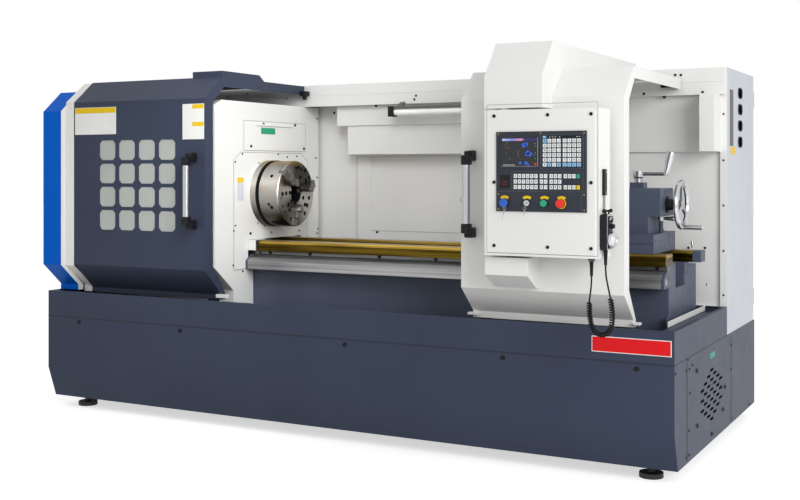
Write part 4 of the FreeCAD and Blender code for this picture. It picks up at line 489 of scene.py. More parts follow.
bare_shader = node_of(tree, "BsdfPrincipled", {"Metallic": 0.9, "Roughness": 0.38})
scraped = cloudy(tree, 30, 0.3, 0.7, stretch=(0.05, 1, 1))
tree.links.new(node_of(tree, "MixRGB", {"Color1": shade("858584"), "Color2": shade("383838")},
                       Fac=scraped).outputs["Color"], bare_shader.inputs["Base Color"])
on_web = reckon(tree, "MULTIPLY", between(tree, "Z", at(0, 0, 0.775).z, WAY_FOOT),
                between(tree, "Y", -3.0, at(0, 0.5, 0).y))
scrubbed = node_of(tree, "MixShader", Fac=on_web)
tree.links.new(either.outputs[0], scrubbed.inputs[1])
tree.links.new(bare_shader.outputs[0], scrubbed.inputs[2])
tree.links.new(scrubbed.outputs[0], tree.nodes["Material Output"].inputs["Surface"])
dress("lathe_bed", bed_paint, 0.002)

stainless = finish("stainless_sheet", "c6c6c6", "6f6f71", 0.3, 0.46, cloud=16, grain=400, bump=0.08,
                   metal=0.9, stretch=(0.03, 1, 2.4))
dress("screw_cover", stainless)
dress("screw_brackets", casting)
steel = finish("ground_steel", "a9a8a5", "8f8e8b", 0.24, 0.36, cloud=9, grain=500, bump=0.08, metal=1.0)
dress("feed_screw", steel)
dress("chip_guard_plate", casting)

# Socket screws that hold the front way down on its web, plugs in the bed's right end and an oiler.
way_bolts = bmesh.new()
for x in (-0.587, -0.319, 0.126, 0.466, 1.648):
    screw(way_bolts, (x, 0.455, 0.859), FRONT, 0.0105)
for depth, height in ((0.443, 0.829), (0.905, 0.748), (0.506, 0.844)):
    peg(way_bolts, (1.778, depth, height), RIGHT, 0.008, 0.0008)
finished("way_bolts", way_bolts, black_steel_and_hole_shade, "frame", True)
UP = (0, 0, 1)
oiler = bmesh.new()
peg(oiler, (1.682, 1.0, 0.925), UP, 0.004, 0.022, 0.003)
peg(oiler, (1.682, 1.0, 0.946), UP, 0.010, 0.014, 0.007)
finished("oiler", oiler, steel, "frame", True)

# Pale folded strip along the bed's right foot, its rubber stop and the tray's inner ledge.
slab("foot_strip", (1.7405, 0.300, 0.600), (1.744, 1.030, 0.627), 0.0008, white, "frame")
slab("strip_stop", (1.716, 1.0225, 0.588), (1.748, 1.0705, 0.618), 0.004,
     foot_rubber, "frame")
slab("tray_ledge", (1.7405, 0.200, 0.560), (1.846, 1.0705, 0.598), 0.002, slate, "frame")


# ---------------- headstock and its guard
# The gearbox casting stands on the bed inside the left end. A white wall shuts it off from the working
# space, with an inspection cover above and a bolted plate round the chuck.
dress("headstock", casting, 0.003)
for name in ("headstock_guard", "headstock_cover", "chuck_surround"):
    dress(name, white)
GUARD_FACE = -0.715
guard_screws = bmesh.new()
for depth, height in (
        (0.293, 1.376), (0.360, 1.421), (0.721, 1.423), (0.818, 1.408), (0.923, 1.413), (1.140, 1.405),
        (1.156, 1.653), (1.156, 1.283), (0.522, 1.371), (0.510, 1.021), (0.577, 1.004), (0.293, 1.016),
        (0.279, 0.987), (0.652, 0.961), (0.951, 0.957), (1.163, 0.959), (1.155, 0.931), (0.274, 0.793),
        (0.365, 0.753), (0.221, 1.737), (0.406, 1.765), (0.811, 1.762)):
    screw(guard_screws, (GUARD_FACE, depth, height), RIGHT, 0.0058)
for depth, height in ((0.438, 0.965), (0.444, 1.467), (1.002, 1.461), (0.569, 1.599), (0.903, 1.603)):
    screw(guard_screws, (GUARD_FACE, depth, height), RIGHT, 0.0085)
finished("guard_screws", guard_screws, black_steel_and_hole_shade, "frame", True)

joint_and_shadow_grey = finish("joint_and_shadow_grey", "9c9c99", "92928f", 0.5, 0.6, bump=0.1)
# Grey lines round the chuck's plate and the inspection cover, and under the cover's lip, paint the shadow
# at their edges.
shadow_lines = bmesh.new()
for shadow_line in (((0.280, 0.766), (0.280, 1.386), (0.346, 1.431), (0.974, 1.431), (1.040, 1.386),
              (1.040, 0.766)), ((0.375, 1.443), (0.375, 1.614), (1.020, 1.614), (1.020, 1.443))):
    bead(shadow_lines, [(GUARD_FACE, depth, height) for depth, height in shadow_line], 0.0014)
bead(shadow_lines, [(-0.7148, 0.500, 1.586), (-0.7148, 0.876, 1.586)], 0.0016, closed=False)
finished("guard_shadow_lines", shadow_lines, joint_and_shadow_grey, "frame")
slab("inspection_lip", (-0.7152, 0.500, 1.587), (-0.709, 0.876, 1.598), 0.0015,
     white, "frame")
AXIS_DEPTH, AXIS_HEIGHT = 0.628, 1.192
collar = bmesh.new()
swept(collar, (-0.7148, AXIS_DEPTH, AXIS_HEIGHT), RIGHT,
      ((0, 0.1945), (0, 0.2175), (0.0012, 0.2165), (0.0012, 0.1945)), steps=96)
finished("chuck_collar", collar, white, "frame", True)
green_plate = finish("green_plate", "12a071", "0e9468", 0.3, 0.4, cloud=10)
plate_grey = finish("plate_grey", "ced0da", "c8cad4", 0.35, 0.45, mirror=0.2)
slab("way_cap", (-0.7145, 0.417, 0.870), (-0.652, 0.560, 0.927), 0.0008,
     white, "frame")
way_gasket = bmesh.new()
for near, low, far, high in ((0.4155, 0.869, 0.5615, 0.9285), (0.452, 0.810, 0.520, 0.8688)):
    block(way_gasket, (-0.661, near, low), (-0.6519, far, high), 0.0006)
finished("way_gasket", way_gasket, foot_rubber, "frame")
slab("guard_green_plate", (GUARD_FACE, 0.545, 1.540), (-0.7138, 0.689, 1.577), 0.0004,
     green_plate, "frame")
slab("guard_pale_plate", (GUARD_FACE, 0.313, 1.155), (-0.7138, 0.372, 1.258), 0.0004,
     plate_grey, "frame")
slab("guard_yellow_plate", (GUARD_FACE, 0.313, 1.258), (-0.7138, 0.372, 1.287), 0.0004,
     yellow_plate, "frame")


# ---------------- spindle, chuck and jaws
# Turned and ground steel: a hollow spindle with a belt pulley on its tail, and a three-jaw chuck on its
# backplate with stepped jaws in radial slots.
dress("spindle", steel)
turned = finish("turned_steel", "8e8a84", "7d7973", 0.26, 0.36, cloud=7, grain=420, bump=0.06, metal=1.0)
tree = turned.node_tree
place = node_of(tree, "TexCoord").outputs["Object"]
centred = node_of(tree, "VectorMath", {"operation": "SUBTRACT"})
tree.links.new(place, centred.inputs[0])
centred.inputs[1].default_value = at(0, AXIS_DEPTH, AXIS_HEIGHT)
axes = node_of(tree, "SeparateXYZ", Vector=centred.outputs[0])
angle = reckon(tree, "ARCTAN2", axes.outputs["Z"], axes.outputs["Y"])
# The chuck's face is painted in lighter and darker fans round its axis, a painted highlight.
fan = reckon(tree, "SINE", reckon(tree, "MULTIPLY_ADD", angle, 2.0, 2.4))
spread = node_of(tree, "MapRange", {"From Min": -0.6, "From Max": 1.0}, Value=fan)
painted_highlight_fan = node_of(tree, "MixRGB", {"Color1": shade("4a4640"), "Color2": shade("c6c2bb")},
                Fac=spread.outputs["Result"])
across = node_of(tree, "CombineXYZ")
tree.links.new(axes.outputs["Y"], across.inputs["X"])
tree.links.new(axes.outputs["Z"], across.inputs["Y"])
radius = node_of(tree, "VectorMath", {"operation": "LENGTH"})
tree.links.new(across.outputs[0], radius.inputs[0])
turning = reckon(tree, "MULTIPLY_ADD", radius.outputs["Value"], 900.0, axes.outputs["X"])
tree.links.new(node_of(tree, "Bump", {"Strength": 0.05, "Distance": 0.0002},
                       Height=reckon(tree, "SINE", turning)).outputs["Normal"],
               tree.nodes["Principled BSDF"].inputs["Normal"])
# The chuck turns golden towards its top: a painted reflection.
upward = node_of(tree, "MapRange", {"From Min": 0.155, "From Max": 0.185}, Value=axes.outputs["Z"])
golden_top_reflection = node_of(tree, "MixRGB", {"Color2": shade("a3864a")}, Color1=painted_highlight_fan.outputs["Color"],
                   Fac=upward.outputs["Result"])
tree.links.new(golden_top_reflection.outputs["Color"], tree.nodes["Principled BSDF"].inputs["Base Color"])
dress("chuck_body", turned, 0.0012)
# The faces round the chuck's bore take the near-black screw finish: painted shade inside the bore.
tint("chuck_body", black_steel_and_hole_shade, (-0.72, 0.574, 1.138), (-0.52, 0.682, 1.246))
jaw_steel = finish("jaw_steel", "8d8b87", "74726e", 0.26, 0.38, cloud=9, grain=500, bump=0.08, metal=1.0)
for number in (1, 2, 3):
    dress("chuck_jaw_%d" % number, jaw_steel, 0.0012)
hole_and_gap_shade = finish("hole_and_gap_shade", "08080a", "101012", 0.7, 0.8, grain=500, mirror=0.1)
CHUCK_RADIUS = 0.1897
# Near-black discs on the chuck's rim and face paint the shade inside its holes.
face_holes = bmesh.new()
for x, depth, height in ((-0.587, 0.468, 1.295), (-0.577, 0.454, 1.116)):
    outward = Vector((0, depth - AXIS_DEPTH, height - AXIS_HEIGHT)).normalized()
    foot = Vector((x, AXIS_DEPTH, AXIS_HEIGHT)) + outward * CHUCK_RADIUS
    peg(face_holes, foot, outward, 0.0105, 0.0008)
for depth, height in (
        (0.657, 1.345), (0.726, 1.326), (0.676, 1.287), (0.768, 1.283), (0.735, 1.270), (0.735, 1.250),
        (0.550, 1.259), (0.581, 1.254), (0.489, 1.193), (0.527, 1.196), (0.564, 1.199), (0.581, 1.149),
        (0.550, 1.131), (0.561, 1.098), (0.724, 1.126), (0.748, 1.122), (0.696, 1.101), (0.724, 1.074),
        (0.768, 1.164), (0.706, 1.166)):
    peg(face_holes, (-0.5273, depth, height), RIGHT, 0.0124, 0.0006)
# A near-black band round the backplate's edge and the gap to the chuck paints the shade there.
swept(face_holes, (-0.679, AXIS_DEPTH, AXIS_HEIGHT), RIGHT,
      ((0, 0.1928), (0.001, 0.194), (0.019, 0.194), (0.020, 0.190)), steps=96)
finished("chuck_holes", face_holes, hole_and_gap_shade, "spindle", True)


# ---------------- carriage
# Saddle, cross slide and square turret of painted cast iron, and four tool bars of steel. They
# stand behind the right door at rest.
for name in ("saddle", "cross_slide", "tool_turret"):
    dress(name, casting, 0.002)
dress("turning_tools", steel)


# ---------------- tailstock
# Painted casting on the ways with a sliding barrel. The handwheel and both clamp levers are polished
# chrome, and a black bolted flange carries the wheel.
dress("tailstock_body", casting, 0.003)
dress("tailstock_quill", steel)
chrome = finish("bright_chrome", "c8c9cb", "bdbec1", 0.14, 0.22, cloud=12, grain=300, bump=0.04,
                metal=1.0)
dress("tailstock_handwheel", chrome, 0.0015)
dress("quill_clamp_lever", chrome, 0.0015)
dress("bed_clamp_lever", chrome, 0.001)
WHEEL_HEIGHT = 1.160
flange = bmesh.new()
peg(flange, (1.6512, AXIS_DEPTH, WHEEL_HEIGHT), RIGHT, 0.040, 0.008, sides=40)
peg(flange, (1.659, AXIS_DEPTH, WHEEL_HEIGHT), RIGHT, 0.029, 0.026, 0.026, sides=40)
for turn in range(45, 360, 90):
    angle = math.radians(turn)
    spot = (1.659, AXIS_DEPTH + 0.034 * math.cos(angle), WHEEL_HEIGHT + 0.034 * math.sin(angle))
    screw(flange, spot, RIGHT, 0.0035)
finished("wheel_flange", flange, black_steel_and_hole_shade, "tailstock", True)
# Near-black discs on the tailstock's end paint the shade inside its holes.
end_holes = bmesh.new()
for depth, height in ((0.470, 0.985), (0.560, 0.985), (0.800, 0.985), (0.800, 0.948)):
    peg(end_holes, (1.636, depth, height), RIGHT, 0.0065, 0.0006)
finished("tailstock_holes", end_holes, black_steel_and_hole_shade, "tailstock", True)


# ---------------- sliding doors
# Two folded doors hang from the beam on rollers and run on a rail in the tray. The left one is slate
# with a grid of small windows over a clear pane, the right one is white.
dress("left_door", slate)
dress("right_door", white)
pane = finish("window_pane", "e6eae5", "dfe4de", 0.05, 0.09, cloud=6, grain=60, bump=0.01)
pane_sockets = pane.node_tree.nodes["Principled BSDF"].inputs
pane_sockets["Transmission Weight"].default_value = 0.55
pane_sockets["IOR"].default_value = 1.45
dress("left_door_window", pane, 0.0005)
for side_name in ("left", "right"):
    dress(side_name + "_handle_bar", finish(side_name + "_handle_steel", "c2c3c6", "b2b3b7", 0.2, 0.3,
                                            cloud=8, grain=600, bump=0.1, metal=1.0,
                                            stretch=(1, 1, 0.05)))
    dress(side_name + "_handle_ends", black, 0.003)
    dress(side_name + "_door_rollers", black, 0.001)


def ring(inner, outer, thick):
    """The profile of a plain ring: its bore, its outside and its thickness."""
    return (0, inner), (0, outer), (thick, outer), (thick, inner)


for side_name, bar_x in (("left", -0.774), ("right", 0.886)):
    grip = bmesh.new()
    swept(grip, (bar_x, -0.070, 1.078), UP, ring(0.0145, 0.0178, 0.276), steps=32)
    finished(side_name + "_grip_tube", grip, bpy.data.materials[side_name + "_handle_steel"],
             side_name + "_door", True)
    castings = bmesh.new()
    for low, foot in ((1.354, 1.372), (1.032, 1.010)):
        block(castings, (bar_x - 0.021, -0.0915, low), (bar_x + 0.021, -0.048, low + 0.046), 0.006)
        block(castings, (bar_x - 0.021, -0.056, foot), (bar_x + 0.021, -0.0002, foot + 0.048), 0.006)
    finished(side_name + "_handle_castings", castings, black, side_name + "_door")

bumper = bmesh.new()
peg(bumper, (-0.678, 0.957, 1.782), DOWN, 0.014, 0.022, 0.011)
block(bumper, (-0.6995, 0.930, 1.782), (-0.658, 0.984, 1.812), 0.004)
finished("roof_bumper", bumper, black, "left_door", True)

slab("left_door_carrier", (-0.719, 0.118, 0.6255), (-0.651, 0.150, 0.645), 0.002,
     white, "left_door")
carriers = bmesh.new()
for left, right in ((0.805, 0.858), (1.628, 1.662)):
    block(carriers, (left, 0.118, 0.625), (right, 0.150, 0.637), 0.002)
finished("right_door_carriers", carriers, white, "right_door")

door_plates = bmesh.new()
block(door_plates, (-1.639, -0.0014, 1.533), (-1.329, 0, 1.688), 0.0004)
block(door_plates, (-0.853, -0.0014, 1.497), (-0.706, 0, 1.690), 0.0004)
finished("door_pale_plates", door_plates, plate_white, "left_door")
door_plates = bmesh.new()
block(door_plates, (-1.637, -0.002, 1.655), (-1.331, -0.0012, 1.686), 0.0003)
for height in (1.568, 1.664):
    block(door_plates, (-0.786, -0.002, height), (-0.708, -0.0012, height + 0.023), 0.0003)
finished("door_yellow_plates", door_plates, yellow_plate, "left_door")


# ---------------- cable column and control box
# A white duct climbs the right door and runs back over its roof. The control box hangs between it and a
# bracket below on two pivots, with a screwed lid.
for name in ("cable_column", "lower_bracket", "control_box"):
    dress(name, white)
knobs = bmesh.new()
for x in (1.087, 1.343, 1.542):
    for height in (1.573, 1.275, 0.990):
        if (x, height) != (1.343, 1.275):
            screw(knobs, (x, -0.208, height), FRONT, 0.0082)
finished("lid_knobs", knobs, black_steel_and_hole_shade, "control_box", True)
tint("control_box", black, (1.5735, -0.157, 1.2195), (1.5865, -0.119, 1.335))
tint("control_box", steel, (1.5735, -0.147, 1.109), (1.580, -0.129, 1.2205))
tint("control_box", rubber, (1.500, -0.148, 0.864), (1.536, -0.112, 0.9449))
strap_ends = bmesh.new()
for height in (1.232, 1.322):
    peg(strap_ends, (1.5862, -0.138, height), RIGHT, 0.0065, 0.0015)
block(strap_ends, (1.5796, -0.1475, 1.136), (1.5812, -0.1285, 1.2215), 0.0004)
finished("strap_rivets", strap_ends, steel, "control_box", True)


def outline(left, low, right, high, depth):
    """The corners of an upright rectangle that faces forward, from the lower left."""
    return [(left, depth, low), (left, depth, high), (right, depth, high), (right, depth, low)]


# A grey line round the lid paints the shade along its embossed edge.
lid_shadow_line = bmesh.new()
bead(lid_shadow_line, outline(1.0515, 0.957, 1.5725, 1.624, -0.2052), 0.0012)
finished("lid_shadow_line", lid_shadow_line, joint_and_shadow_grey, "control_box")


# ---------------- operator panel
# Dark film-covered panel with a flat screen and two keypads, whose keys are white, pale blue, green and
# yellow. Below them stands a row of buttons with a key switch and an emergency stop.
panel_film = finish("panel_film", "252a33", "2a2f39", 0.34, 0.42, cloud=6, mirror=0.3)
dress("control_panel", panel_film)
keys = finish("key_plastic", "e4e5e6", "dcdedf", 0.35, 0.45, grain=900)
key_blue = finish("key_blue", "8fc0e6", "84b7df", 0.35, 0.45, grain=900)
key_green = finish("key_green", "0f9c7c", "0d9073", 0.35, 0.45, grain=900)
dress("panel_keys", panel_film, 0.0004)
legends = bmesh.new()
SEGMENTS = ((0.1, 0.9, 0.9, 0.9), (0.9, 0.9, 0.9, 0.5), (0.9, 0.5, 0.9, 0.1), (0.1, 0.1, 0.9, 0.1),
            (0.1, 0.5, 0.1, 0.1), (0.1, 0.9, 0.1, 0.5), (0.1, 0.5, 0.9, 0.5))
SIGNS = (63, 6, 91, 79, 102, 109, 125, 7, 127, 111, 119, 124, 57, 94, 121, 113)


def sign(mesh, x, height, size, code, front=-0.2172, thick=0.0015):
    """A character in straight strokes, chosen by the segments that its code switches on."""
    for bit, (x0, z0, x1, z1) in enumerate(SEGMENTS):
        if code >> bit & 1:
            low_x, high_x = x + min(x0, x1) * size, x + max(x0, x1) * size
            low_z, high_z = height + min(z0, z1) * size * 1.5, height + max(z0, z1) * size * 1.5
            block(mesh, (low_x - thick / 2, front, low_z - thick / 2),
                  (high_x + thick / 2, front + 0.0003, high_z + thick / 2))


def one_key(left, low, wide, high, cap, code, mark=True):
    """One key: the finish of its top and the character printed on it."""
    tint("panel_keys", cap, (left - 0.001, -0.21705, low - 0.001),
         (left + wide + 0.001, -0.21695, low + high + 0.001))
    if mark:
        sign(legends, left + wide * 0.5 - 0.0026, low + high * 0.5 - 0.0039, 0.0052, code)


for row in range(6):
    for column in range(8):
        pale = (row, column) == (5, 0) or row == 0 and column in (1, 3, 4, 5, 6, 7)
        left = 1.322 + 0.0218 * column + 0.00215 + (0.005 if column > 3 else 0)
        one_key(left, 1.343 + 0.021 * row + 0.00225, 0.0175, 0.0165, key_blue if pale else keys,
                SIGNS[(row * 8 + column * 3) % 16])
done = 0
for number, count in enumerate((6, 2, 3, 4)):
    for column in range(count):
        for row in range(3):
            last = number == 3 and column == 3
            cap = (yellow_plate, panel_film, key_green)[row] if last else keys
            cap = panel_film if number == 3 and row == 1 else cap
            left = 1.184 + 0.0196 * (done + column) + 0.0063 * number + 0.00205
            one_key(left, 1.242 + 0.0245 * row + 0.00325, 0.0155, 0.018, cap,
                    SIGNS[(row * 5 + done + column) % 16], cap is keys)
    done += count
finished("key_legends", legends, black, "control_box")

strips = bmesh.new()
block(strips, (1.322, -0.215, 1.470), (1.5014, -0.2139, 1.4805), 0.0003)
block(strips, (1.118, -0.2146, 1.248), (1.166, -0.2139, 1.308), 0.0003)
finished("panel_black_fields", strips, black, "control_box")
slab("panel_blue_cell", (1.323, -0.2154, 1.4708), (1.339, -0.2148, 1.4797), 0.0002,
     key_blue, "control_box")
pale_marks = bmesh.new()
for x in (1.353, 1.366, 1.379, 1.398, 1.478, 1.489):
    block(pale_marks, (x, -0.2153, 1.474), (x + 0.006, -0.2149, 1.4762))
finished("panel_pale_marks", pale_marks, keys, "control_box")

# The panel's thin lines: a frame round each group of keys and the joint above the button strip.
line_grey = finish("line_grey", "4c525c", "454a54", 0.4, 0.5)
LINE_DEPTH = -0.2141
lines = bmesh.new()
bead(lines, [(1.1015, LINE_DEPTH, 1.234), (1.5225, LINE_DEPTH, 1.234)], 0.0009, closed=False)
bead(lines, outline(1.176, 1.238, 1.508, 1.322, LINE_DEPTH), 0.0007)
bead(lines, outline(1.313, 1.335, 1.510, 1.487, LINE_DEPTH), 0.0007)
bead(lines, [(1.500, LINE_DEPTH, 1.152), (1.500, LINE_DEPTH, 1.228)], 0.0007, closed=False)
finished("panel_lines", lines, line_grey, "control_box")

# Flat screen in its recess: a dark field, a bright header bar, small coloured shapes and pale ticks.
screen_glass = finish("screen_glass", "15171c", "191c22", 0.16, 0.24, cloud=4, grain=900, bump=0.01)
slab("screen_field", (1.1262, -0.2148, 1.3472), (1.2988, -0.2139, 1.4728), 0.0002,
     screen_glass, "control_box")
tree = finish("screen_header", "9fb6ff", "d56fae", 0.3, 0.36, cloud=9, grain=900, bump=0.01).node_tree
header_shader = tree.nodes["Principled BSDF"]
header_x = node_of(tree, "SeparateXYZ", Vector=node_of(tree, "TexCoord").outputs["Object"]).outputs["X"]
sweep = node_of(tree, "MapRange", {"From Min": 1.128, "From Max": 1.296}, Value=header_x)
ramp = node_of(tree, "ValToRGB", Fac=sweep.outputs["Result"])
ramp.color_ramp.elements[0].color = shade("b4c3f2")
ramp.color_ramp.elements[1].color = shade("1b2468")
for stop, code in ((0.30, "7d80d8"), (0.56, "d58cb4"), (0.64, "23235c")):
    ramp.color_ramp.elements.new(stop).color = shade(code)
tree.links.new(ramp.outputs["Color"], header_shader.inputs["Base Color"])
tree.links.new(ramp.outputs["Color"], header_shader.inputs["Emission Color"])
header_shader.inputs["Emission Strength"].default_value = 0.08
slab("screen_header_bar", (1.129, -0.2152, 1.460), (1.296, -0.2147, 1.470), 0.0002,
     bpy.data.materials["screen_header"], "control_box")
for piece, main, other, spots in (
        ("screen_blue", "2c63d8", "2456c4",
         ((1.234, 1.440, 0.011), (1.246, 1.444, 0.009), (1.252, 1.407, 0.010), (1.262, 1.400, 0.011),
          (1.246, 1.399, 0.007), (1.216, 1.362, 0.007), (1.244, 1.360, 0.009), (1.254, 1.353, 0.006))),
        ("screen_red", "d8243c", "cc1f36",
         ((1.288, 1.356, 0.0055), (1.147, 1.442, 0.002), (1.150, 1.430, 0.002))),
        ("screen_teal", "1a8f86", "16857c",
         ((1.288, 1.405, 0.003), (1.284, 1.395, 0.003), (1.287, 1.380, 0.003)))):
    shapes = bmesh.new()
    for x, height, radius in spots:
        peg(shapes, (x, -0.2147, height), FRONT, radius, 0.0004, sides=7)
    glow = finish(piece, main, other, 0.3, 0.36, cloud=40, grain=900, bump=0.01)
    finished(piece + "_shapes", shapes, glow, "control_box")
TICK_BACK, TICK_FACE = -0.2147, -0.2151
ticks = bmesh.new()
for x, height, wide in (
        (1.150, 1.452, 0.006), (1.158, 1.426, 0.005), (1.146, 1.405, 0.004), (1.205, 1.410, 0.004),
        (1.203, 1.400, 0.006), (1.206, 1.390, 0.004), (1.160, 1.384, 0.005), (1.166, 1.376, 0.004),
        (1.282, 1.446, 0.010), (1.284, 1.436, 0.008)):
    block(ticks, (x, TICK_FACE, height), (x + wide, TICK_BACK, height + 0.0016))
block(ticks, (1.132, TICK_FACE, 1.350), (1.190, TICK_BACK, 1.3545))
finished("screen_ticks", ticks, joint_and_shadow_grey, "control_box")
bezel = bmesh.new()
bead(bezel, [(1.300, -0.2172, 1.346), (1.300, -0.2172, 1.474)], 0.0011, closed=False)
bead(bezel, [(1.125, -0.2172, 1.346), (1.300, -0.2172, 1.346)], 0.0009, closed=False)
finished("screen_bezel", bezel, joint_and_shadow_grey, "control_box")
lit_red = finish("lit_red", "7d1420", "6d101b", 0.3, 0.4, cloud=40, grain=900, bump=0.02)
digits = bmesh.new()
for x, code in ((1.128, 91), (1.142, 109)):
    sign(digits, x, 1.262, 0.013, code, front=-0.2149, thick=0.0022)
finished("lit_digits", digits, lit_red, "control_box")

for name, main, other in (("blue_button", "0f5fc2", "0c56b2"), ("green_button", "12a074", "0f9069"),
                          ("stop_button", "e3261b", "d62017")):
    dress(name, finish(name + "_cap", main, other, 0.22, 0.3, grain=900, bump=0.04), 0.001)
dress("key_switch", chrome, 0.0006)

# Bare yellow arc plates over the buttons, the stop's yellow collar, hanging keys and brass screws.
PANEL_FACE, BUTTON_HEIGHT, STOP_X = -0.214, 1.183, 1.410
arcs = bmesh.new()
for x in (1.141, 1.249, 1.331, STOP_X):
    swept(arcs, (x, PANEL_FACE, BUTTON_HEIGHT), FRONT, ring(0.021, 0.033, 0.0008), 50, 80, 12)
swept(arcs, (STOP_X, -0.219, BUTTON_HEIGHT), FRONT,
      ((0, 0.0202), (0, 0.0232), (0.004, 0.0225), (0.004, 0.0202)), steps=40)
finished("button_arcs", arcs, yellow_plate, "control_box")
hung = bmesh.new()
for x, lean in ((1.150, -0.008), (1.246, -0.003)):
    swept(hung, (x, -0.238, 1.160), (0.3, -1, 0), ring(0.0055, 0.0072, 0.0014), steps=20)
    bead(hung, [(x, -0.2375, 1.154), (x + lean, -0.237, 1.128)], 0.0022, closed=False)
bead(hung, [(1.143, -0.237, 1.128), (1.135, -0.236, 1.100)], 0.0012, closed=False)
finished("hanging_keys", hung, steel, "control_box", True)
brass = finish("brass_screws", "c9a866", "b8955a", 0.3, 0.4, cloud=40, grain=900, bump=0.1, metal=0.8)
panel_screws = bmesh.new()
for x, height in (
        (1.111, 1.491), (1.312, 1.492), (1.513, 1.491), (1.111, 1.155), (1.513, 1.155), (1.513, 1.222),
        (1.111, 1.222)):
    screw(panel_screws, (x, PANEL_FACE, height), FRONT, 0.0035)
finished("panel_screws", panel_screws, brass, "control_box", True)


# ---------------- hand pendant
# Black moulded pendant that hangs from a bracket, with a grey face, a pulse dial of bright aluminium, a
# small black selector and a grey knob above it.
dress("handset", black, 0.002)
face_grey = finish("pendant_face", "c2c4c6", "b4b6b9", 0.3, 0.4, cloud=30, grain=800)
dial_metal = finish("dial_metal", "d2d3d6", "c0c2c6", 0.26, 0.36, cloud=12, grain=300, bump=0.04,
                    metal=0.9)
dress("handset_dial", dial_metal, 0.001)
tint("handset", face_grey, (1.6085, -0.2, 0.9), (1.6095, -0.1, 1.15))
dress("handset_knob", black, 0.001)
crank = bmesh.new()
peg(crank, (1.6312, -0.156, 1.028), RIGHT, 0.022, 0.003, 0.019, 32)
peg(crank, (1.634, -0.143, 1.038), RIGHT, 0.0045, 0.013, 0.0038)
swept(crank, (1.6308, -0.156, 1.028), RIGHT, ((0, 0.029), (0, 0.034), (0.002, 0.033), (0.002, 0.030)))
finished("dial_crank", crank, dial_metal, "handset_dial", True)
upper_knob = bmesh.new()
peg(upper_knob, (1.609, -0.156, 1.116), RIGHT, 0.0115, 0.010, 0.010, 24)
peg(upper_knob, (1.609, -0.156, 1.086), RIGHT, 0.015, 0.003, 0.015, 24)
finished("upper_knob", upper_knob, face_grey, "control_box", True)
hanger = bmesh.new()
bead(hanger, [(1.583, -0.150, 1.152), (1.612, -0.150, 1.154)], 0.0045, closed=False)
for x, height in ((1.583, 1.152), (1.612, 1.154)):
    bmesh.ops.create_icosphere(hanger, subdivisions=3, radius=0.0085,
                               matrix=Matrix.Translation(at(x, -0.150, height)))
for x in (1.590, 1.603):
    peg(hanger, (x, -0.152, 1.137), UP, 0.0042, 0.016, 0.0042, 12)
finished("pendant_hanger", hanger, black, "control_box", True)


# ---------------- back and left end
# Sheets of the back and the left end, each screwed on along its upright edges: three on the rear wall,
# three access covers low on the plinth and one round the bar hole.
SCREW_INSET = 0.022


def panel_joint(joint_lines, joint_screws, start, end, low_edge, high_edge, facing, pitch):
    """A rectangular panel's joint line, with screws inside it along its two upright edges."""
    corners = [(*start, low_edge), (*end, low_edge), (*end, high_edge), (*start, high_edge)]
    bead(joint_lines, corners, 0.0014)
    low, high = Vector(corners[0]), Vector(corners[2])
    for upright in (corners[0], corners[2]):
        inward = 1 if upright is corners[0] else -1
        count = max(2, round((high.z - low.z) / pitch))
        for step in range(count + 1):
            height = low.z + SCREW_INSET + (high.z - low.z - 2 * SCREW_INSET) * step / count
            along = Vector(corners[1]) - Vector(corners[0])
            place = Vector(upright) + along.normalized() * SCREW_INSET * inward
            screw(joint_screws, (place.x, place.y, height), facing, 0.007)


BACK = (0, 1, 0)
WALL_BACK, PLINTH_BACK, LEFT_END = 1.2036, 1.7704, -1.8504
back_lines = bmesh.new()
back_screws = bmesh.new()
for left, right in ((-1.640, -0.880), (-0.870, -0.080), (-0.070, 0.700)):
    panel_joint(back_lines, back_screws, (left, WALL_BACK), (right, WALL_BACK), 0.500, 1.815, BACK, 0.32)
finished("rear_joints", back_lines, joint_and_shadow_grey, "frame")
low_lines = bmesh.new()
for left, right in ((-1.600, -0.700), (-0.500, 0.500), (0.650, 1.500)):
    panel_joint(low_lines, back_screws, (left, PLINTH_BACK), (right, PLINTH_BACK), 0.060, 0.420,
                BACK, 0.2)
finished("plinth_joints", low_lines, joint_dark, "frame")
end_lines = bmesh.new()
panel_joint(end_lines, back_screws, (LEFT_END, 0.240), (LEFT_END, 0.960), 0.700, 1.760, (-1, 0, 0), 0.3)
finished("end_joints", end_lines, joint_and_shadow_grey, "frame")
finished("back_screws", back_screws, black_steel_and_hole_shade, "frame", True)


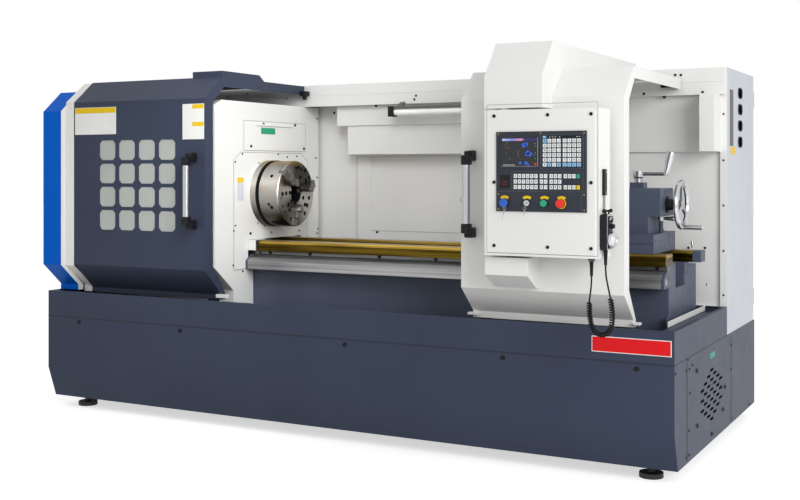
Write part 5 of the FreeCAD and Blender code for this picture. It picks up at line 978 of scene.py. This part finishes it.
# ---------------- floor and light
# Pale studio floor under an even white sky, a large soft light off the machine's right-hand corner and a
# small one that reaches into the working space.
ground = bmesh.new()
bmesh.ops.create_grid(ground, x_segments=1, y_segments=1, size=30)
floor_data = bpy.data.meshes.new("floor")
ground.to_mesh(floor_data)
ground.free()
floor = bpy.data.objects.new("floor", floor_data)
paper = finish("floor_paper", "dddddd", "d9d9d9", 0.75, 0.85, cloud=0.6, grain=600, bump=0.02)


def looked_at(tree):
    """1 for a ray that shows something to the camera, straight, in a reflection or through a pane."""
    kinds = node_of(tree, "LightPath").outputs
    either = kinds["Is Camera Ray"]
    for kind in ("Is Glossy Ray", "Is Transmission Ray"):
        either = reckon(tree, "MAXIMUM", either, kinds[kind])
    return either


tree = paper.node_tree
lifted = node_of(tree, "MapRange", {"To Min": 0.0, "To Max": 0.6}, Value=looked_at(tree))
tree.nodes["Principled BSDF"].inputs["Emission Color"].default_value = (1, 1, 1, 1)
tree.links.new(lifted.outputs["Result"], tree.nodes["Principled BSDF"].inputs["Emission Strength"])
floor.data.materials.append(paper)
bpy.context.collection.objects.link(floor)


def soft_light(name, place, aim, wide, high, power, spread=180):
    """A rectangular lamp that faces a point of the machine."""
    lamp = bpy.data.lights.new(name, "AREA")
    lamp.shape = "RECTANGLE"
    lamp.size = wide
    lamp.size_y = high
    lamp.energy = power
    lamp.spread = math.radians(spread)
    item = bpy.data.objects.new(name, lamp)
    item.location = place
    item.rotation_euler = (Vector(aim) - Vector(place)).to_track_quat("-Z", "Y").to_euler()
    bpy.context.collection.objects.link(item)


soft_light("right_light", (6.0, -4.0, 2.9), (0.0, 0, 0.9), 3.5, 2.5, 235)
soft_light("inner_light", (0.55, -1.7, 2.5), (-0.75, -0.1, 1.05), 0.8, 0.8, 5.5, 70)

world = bpy.data.worlds.new("studio")
bpy.context.scene.world = world
world.use_nodes = True
sky = world.node_tree
backdrop = sky.nodes["Background"]
backdrop.inputs["Color"].default_value = (1, 1, 1, 1)
level = node_of(sky, "MapRange", {"To Min": 0.68, "To Max": 1.0}, Value=looked_at(sky))
sky.links.new(level.outputs["Result"], backdrop.inputs["Strength"])

bpy.context.scene.view_settings.view_transform = "Standard"
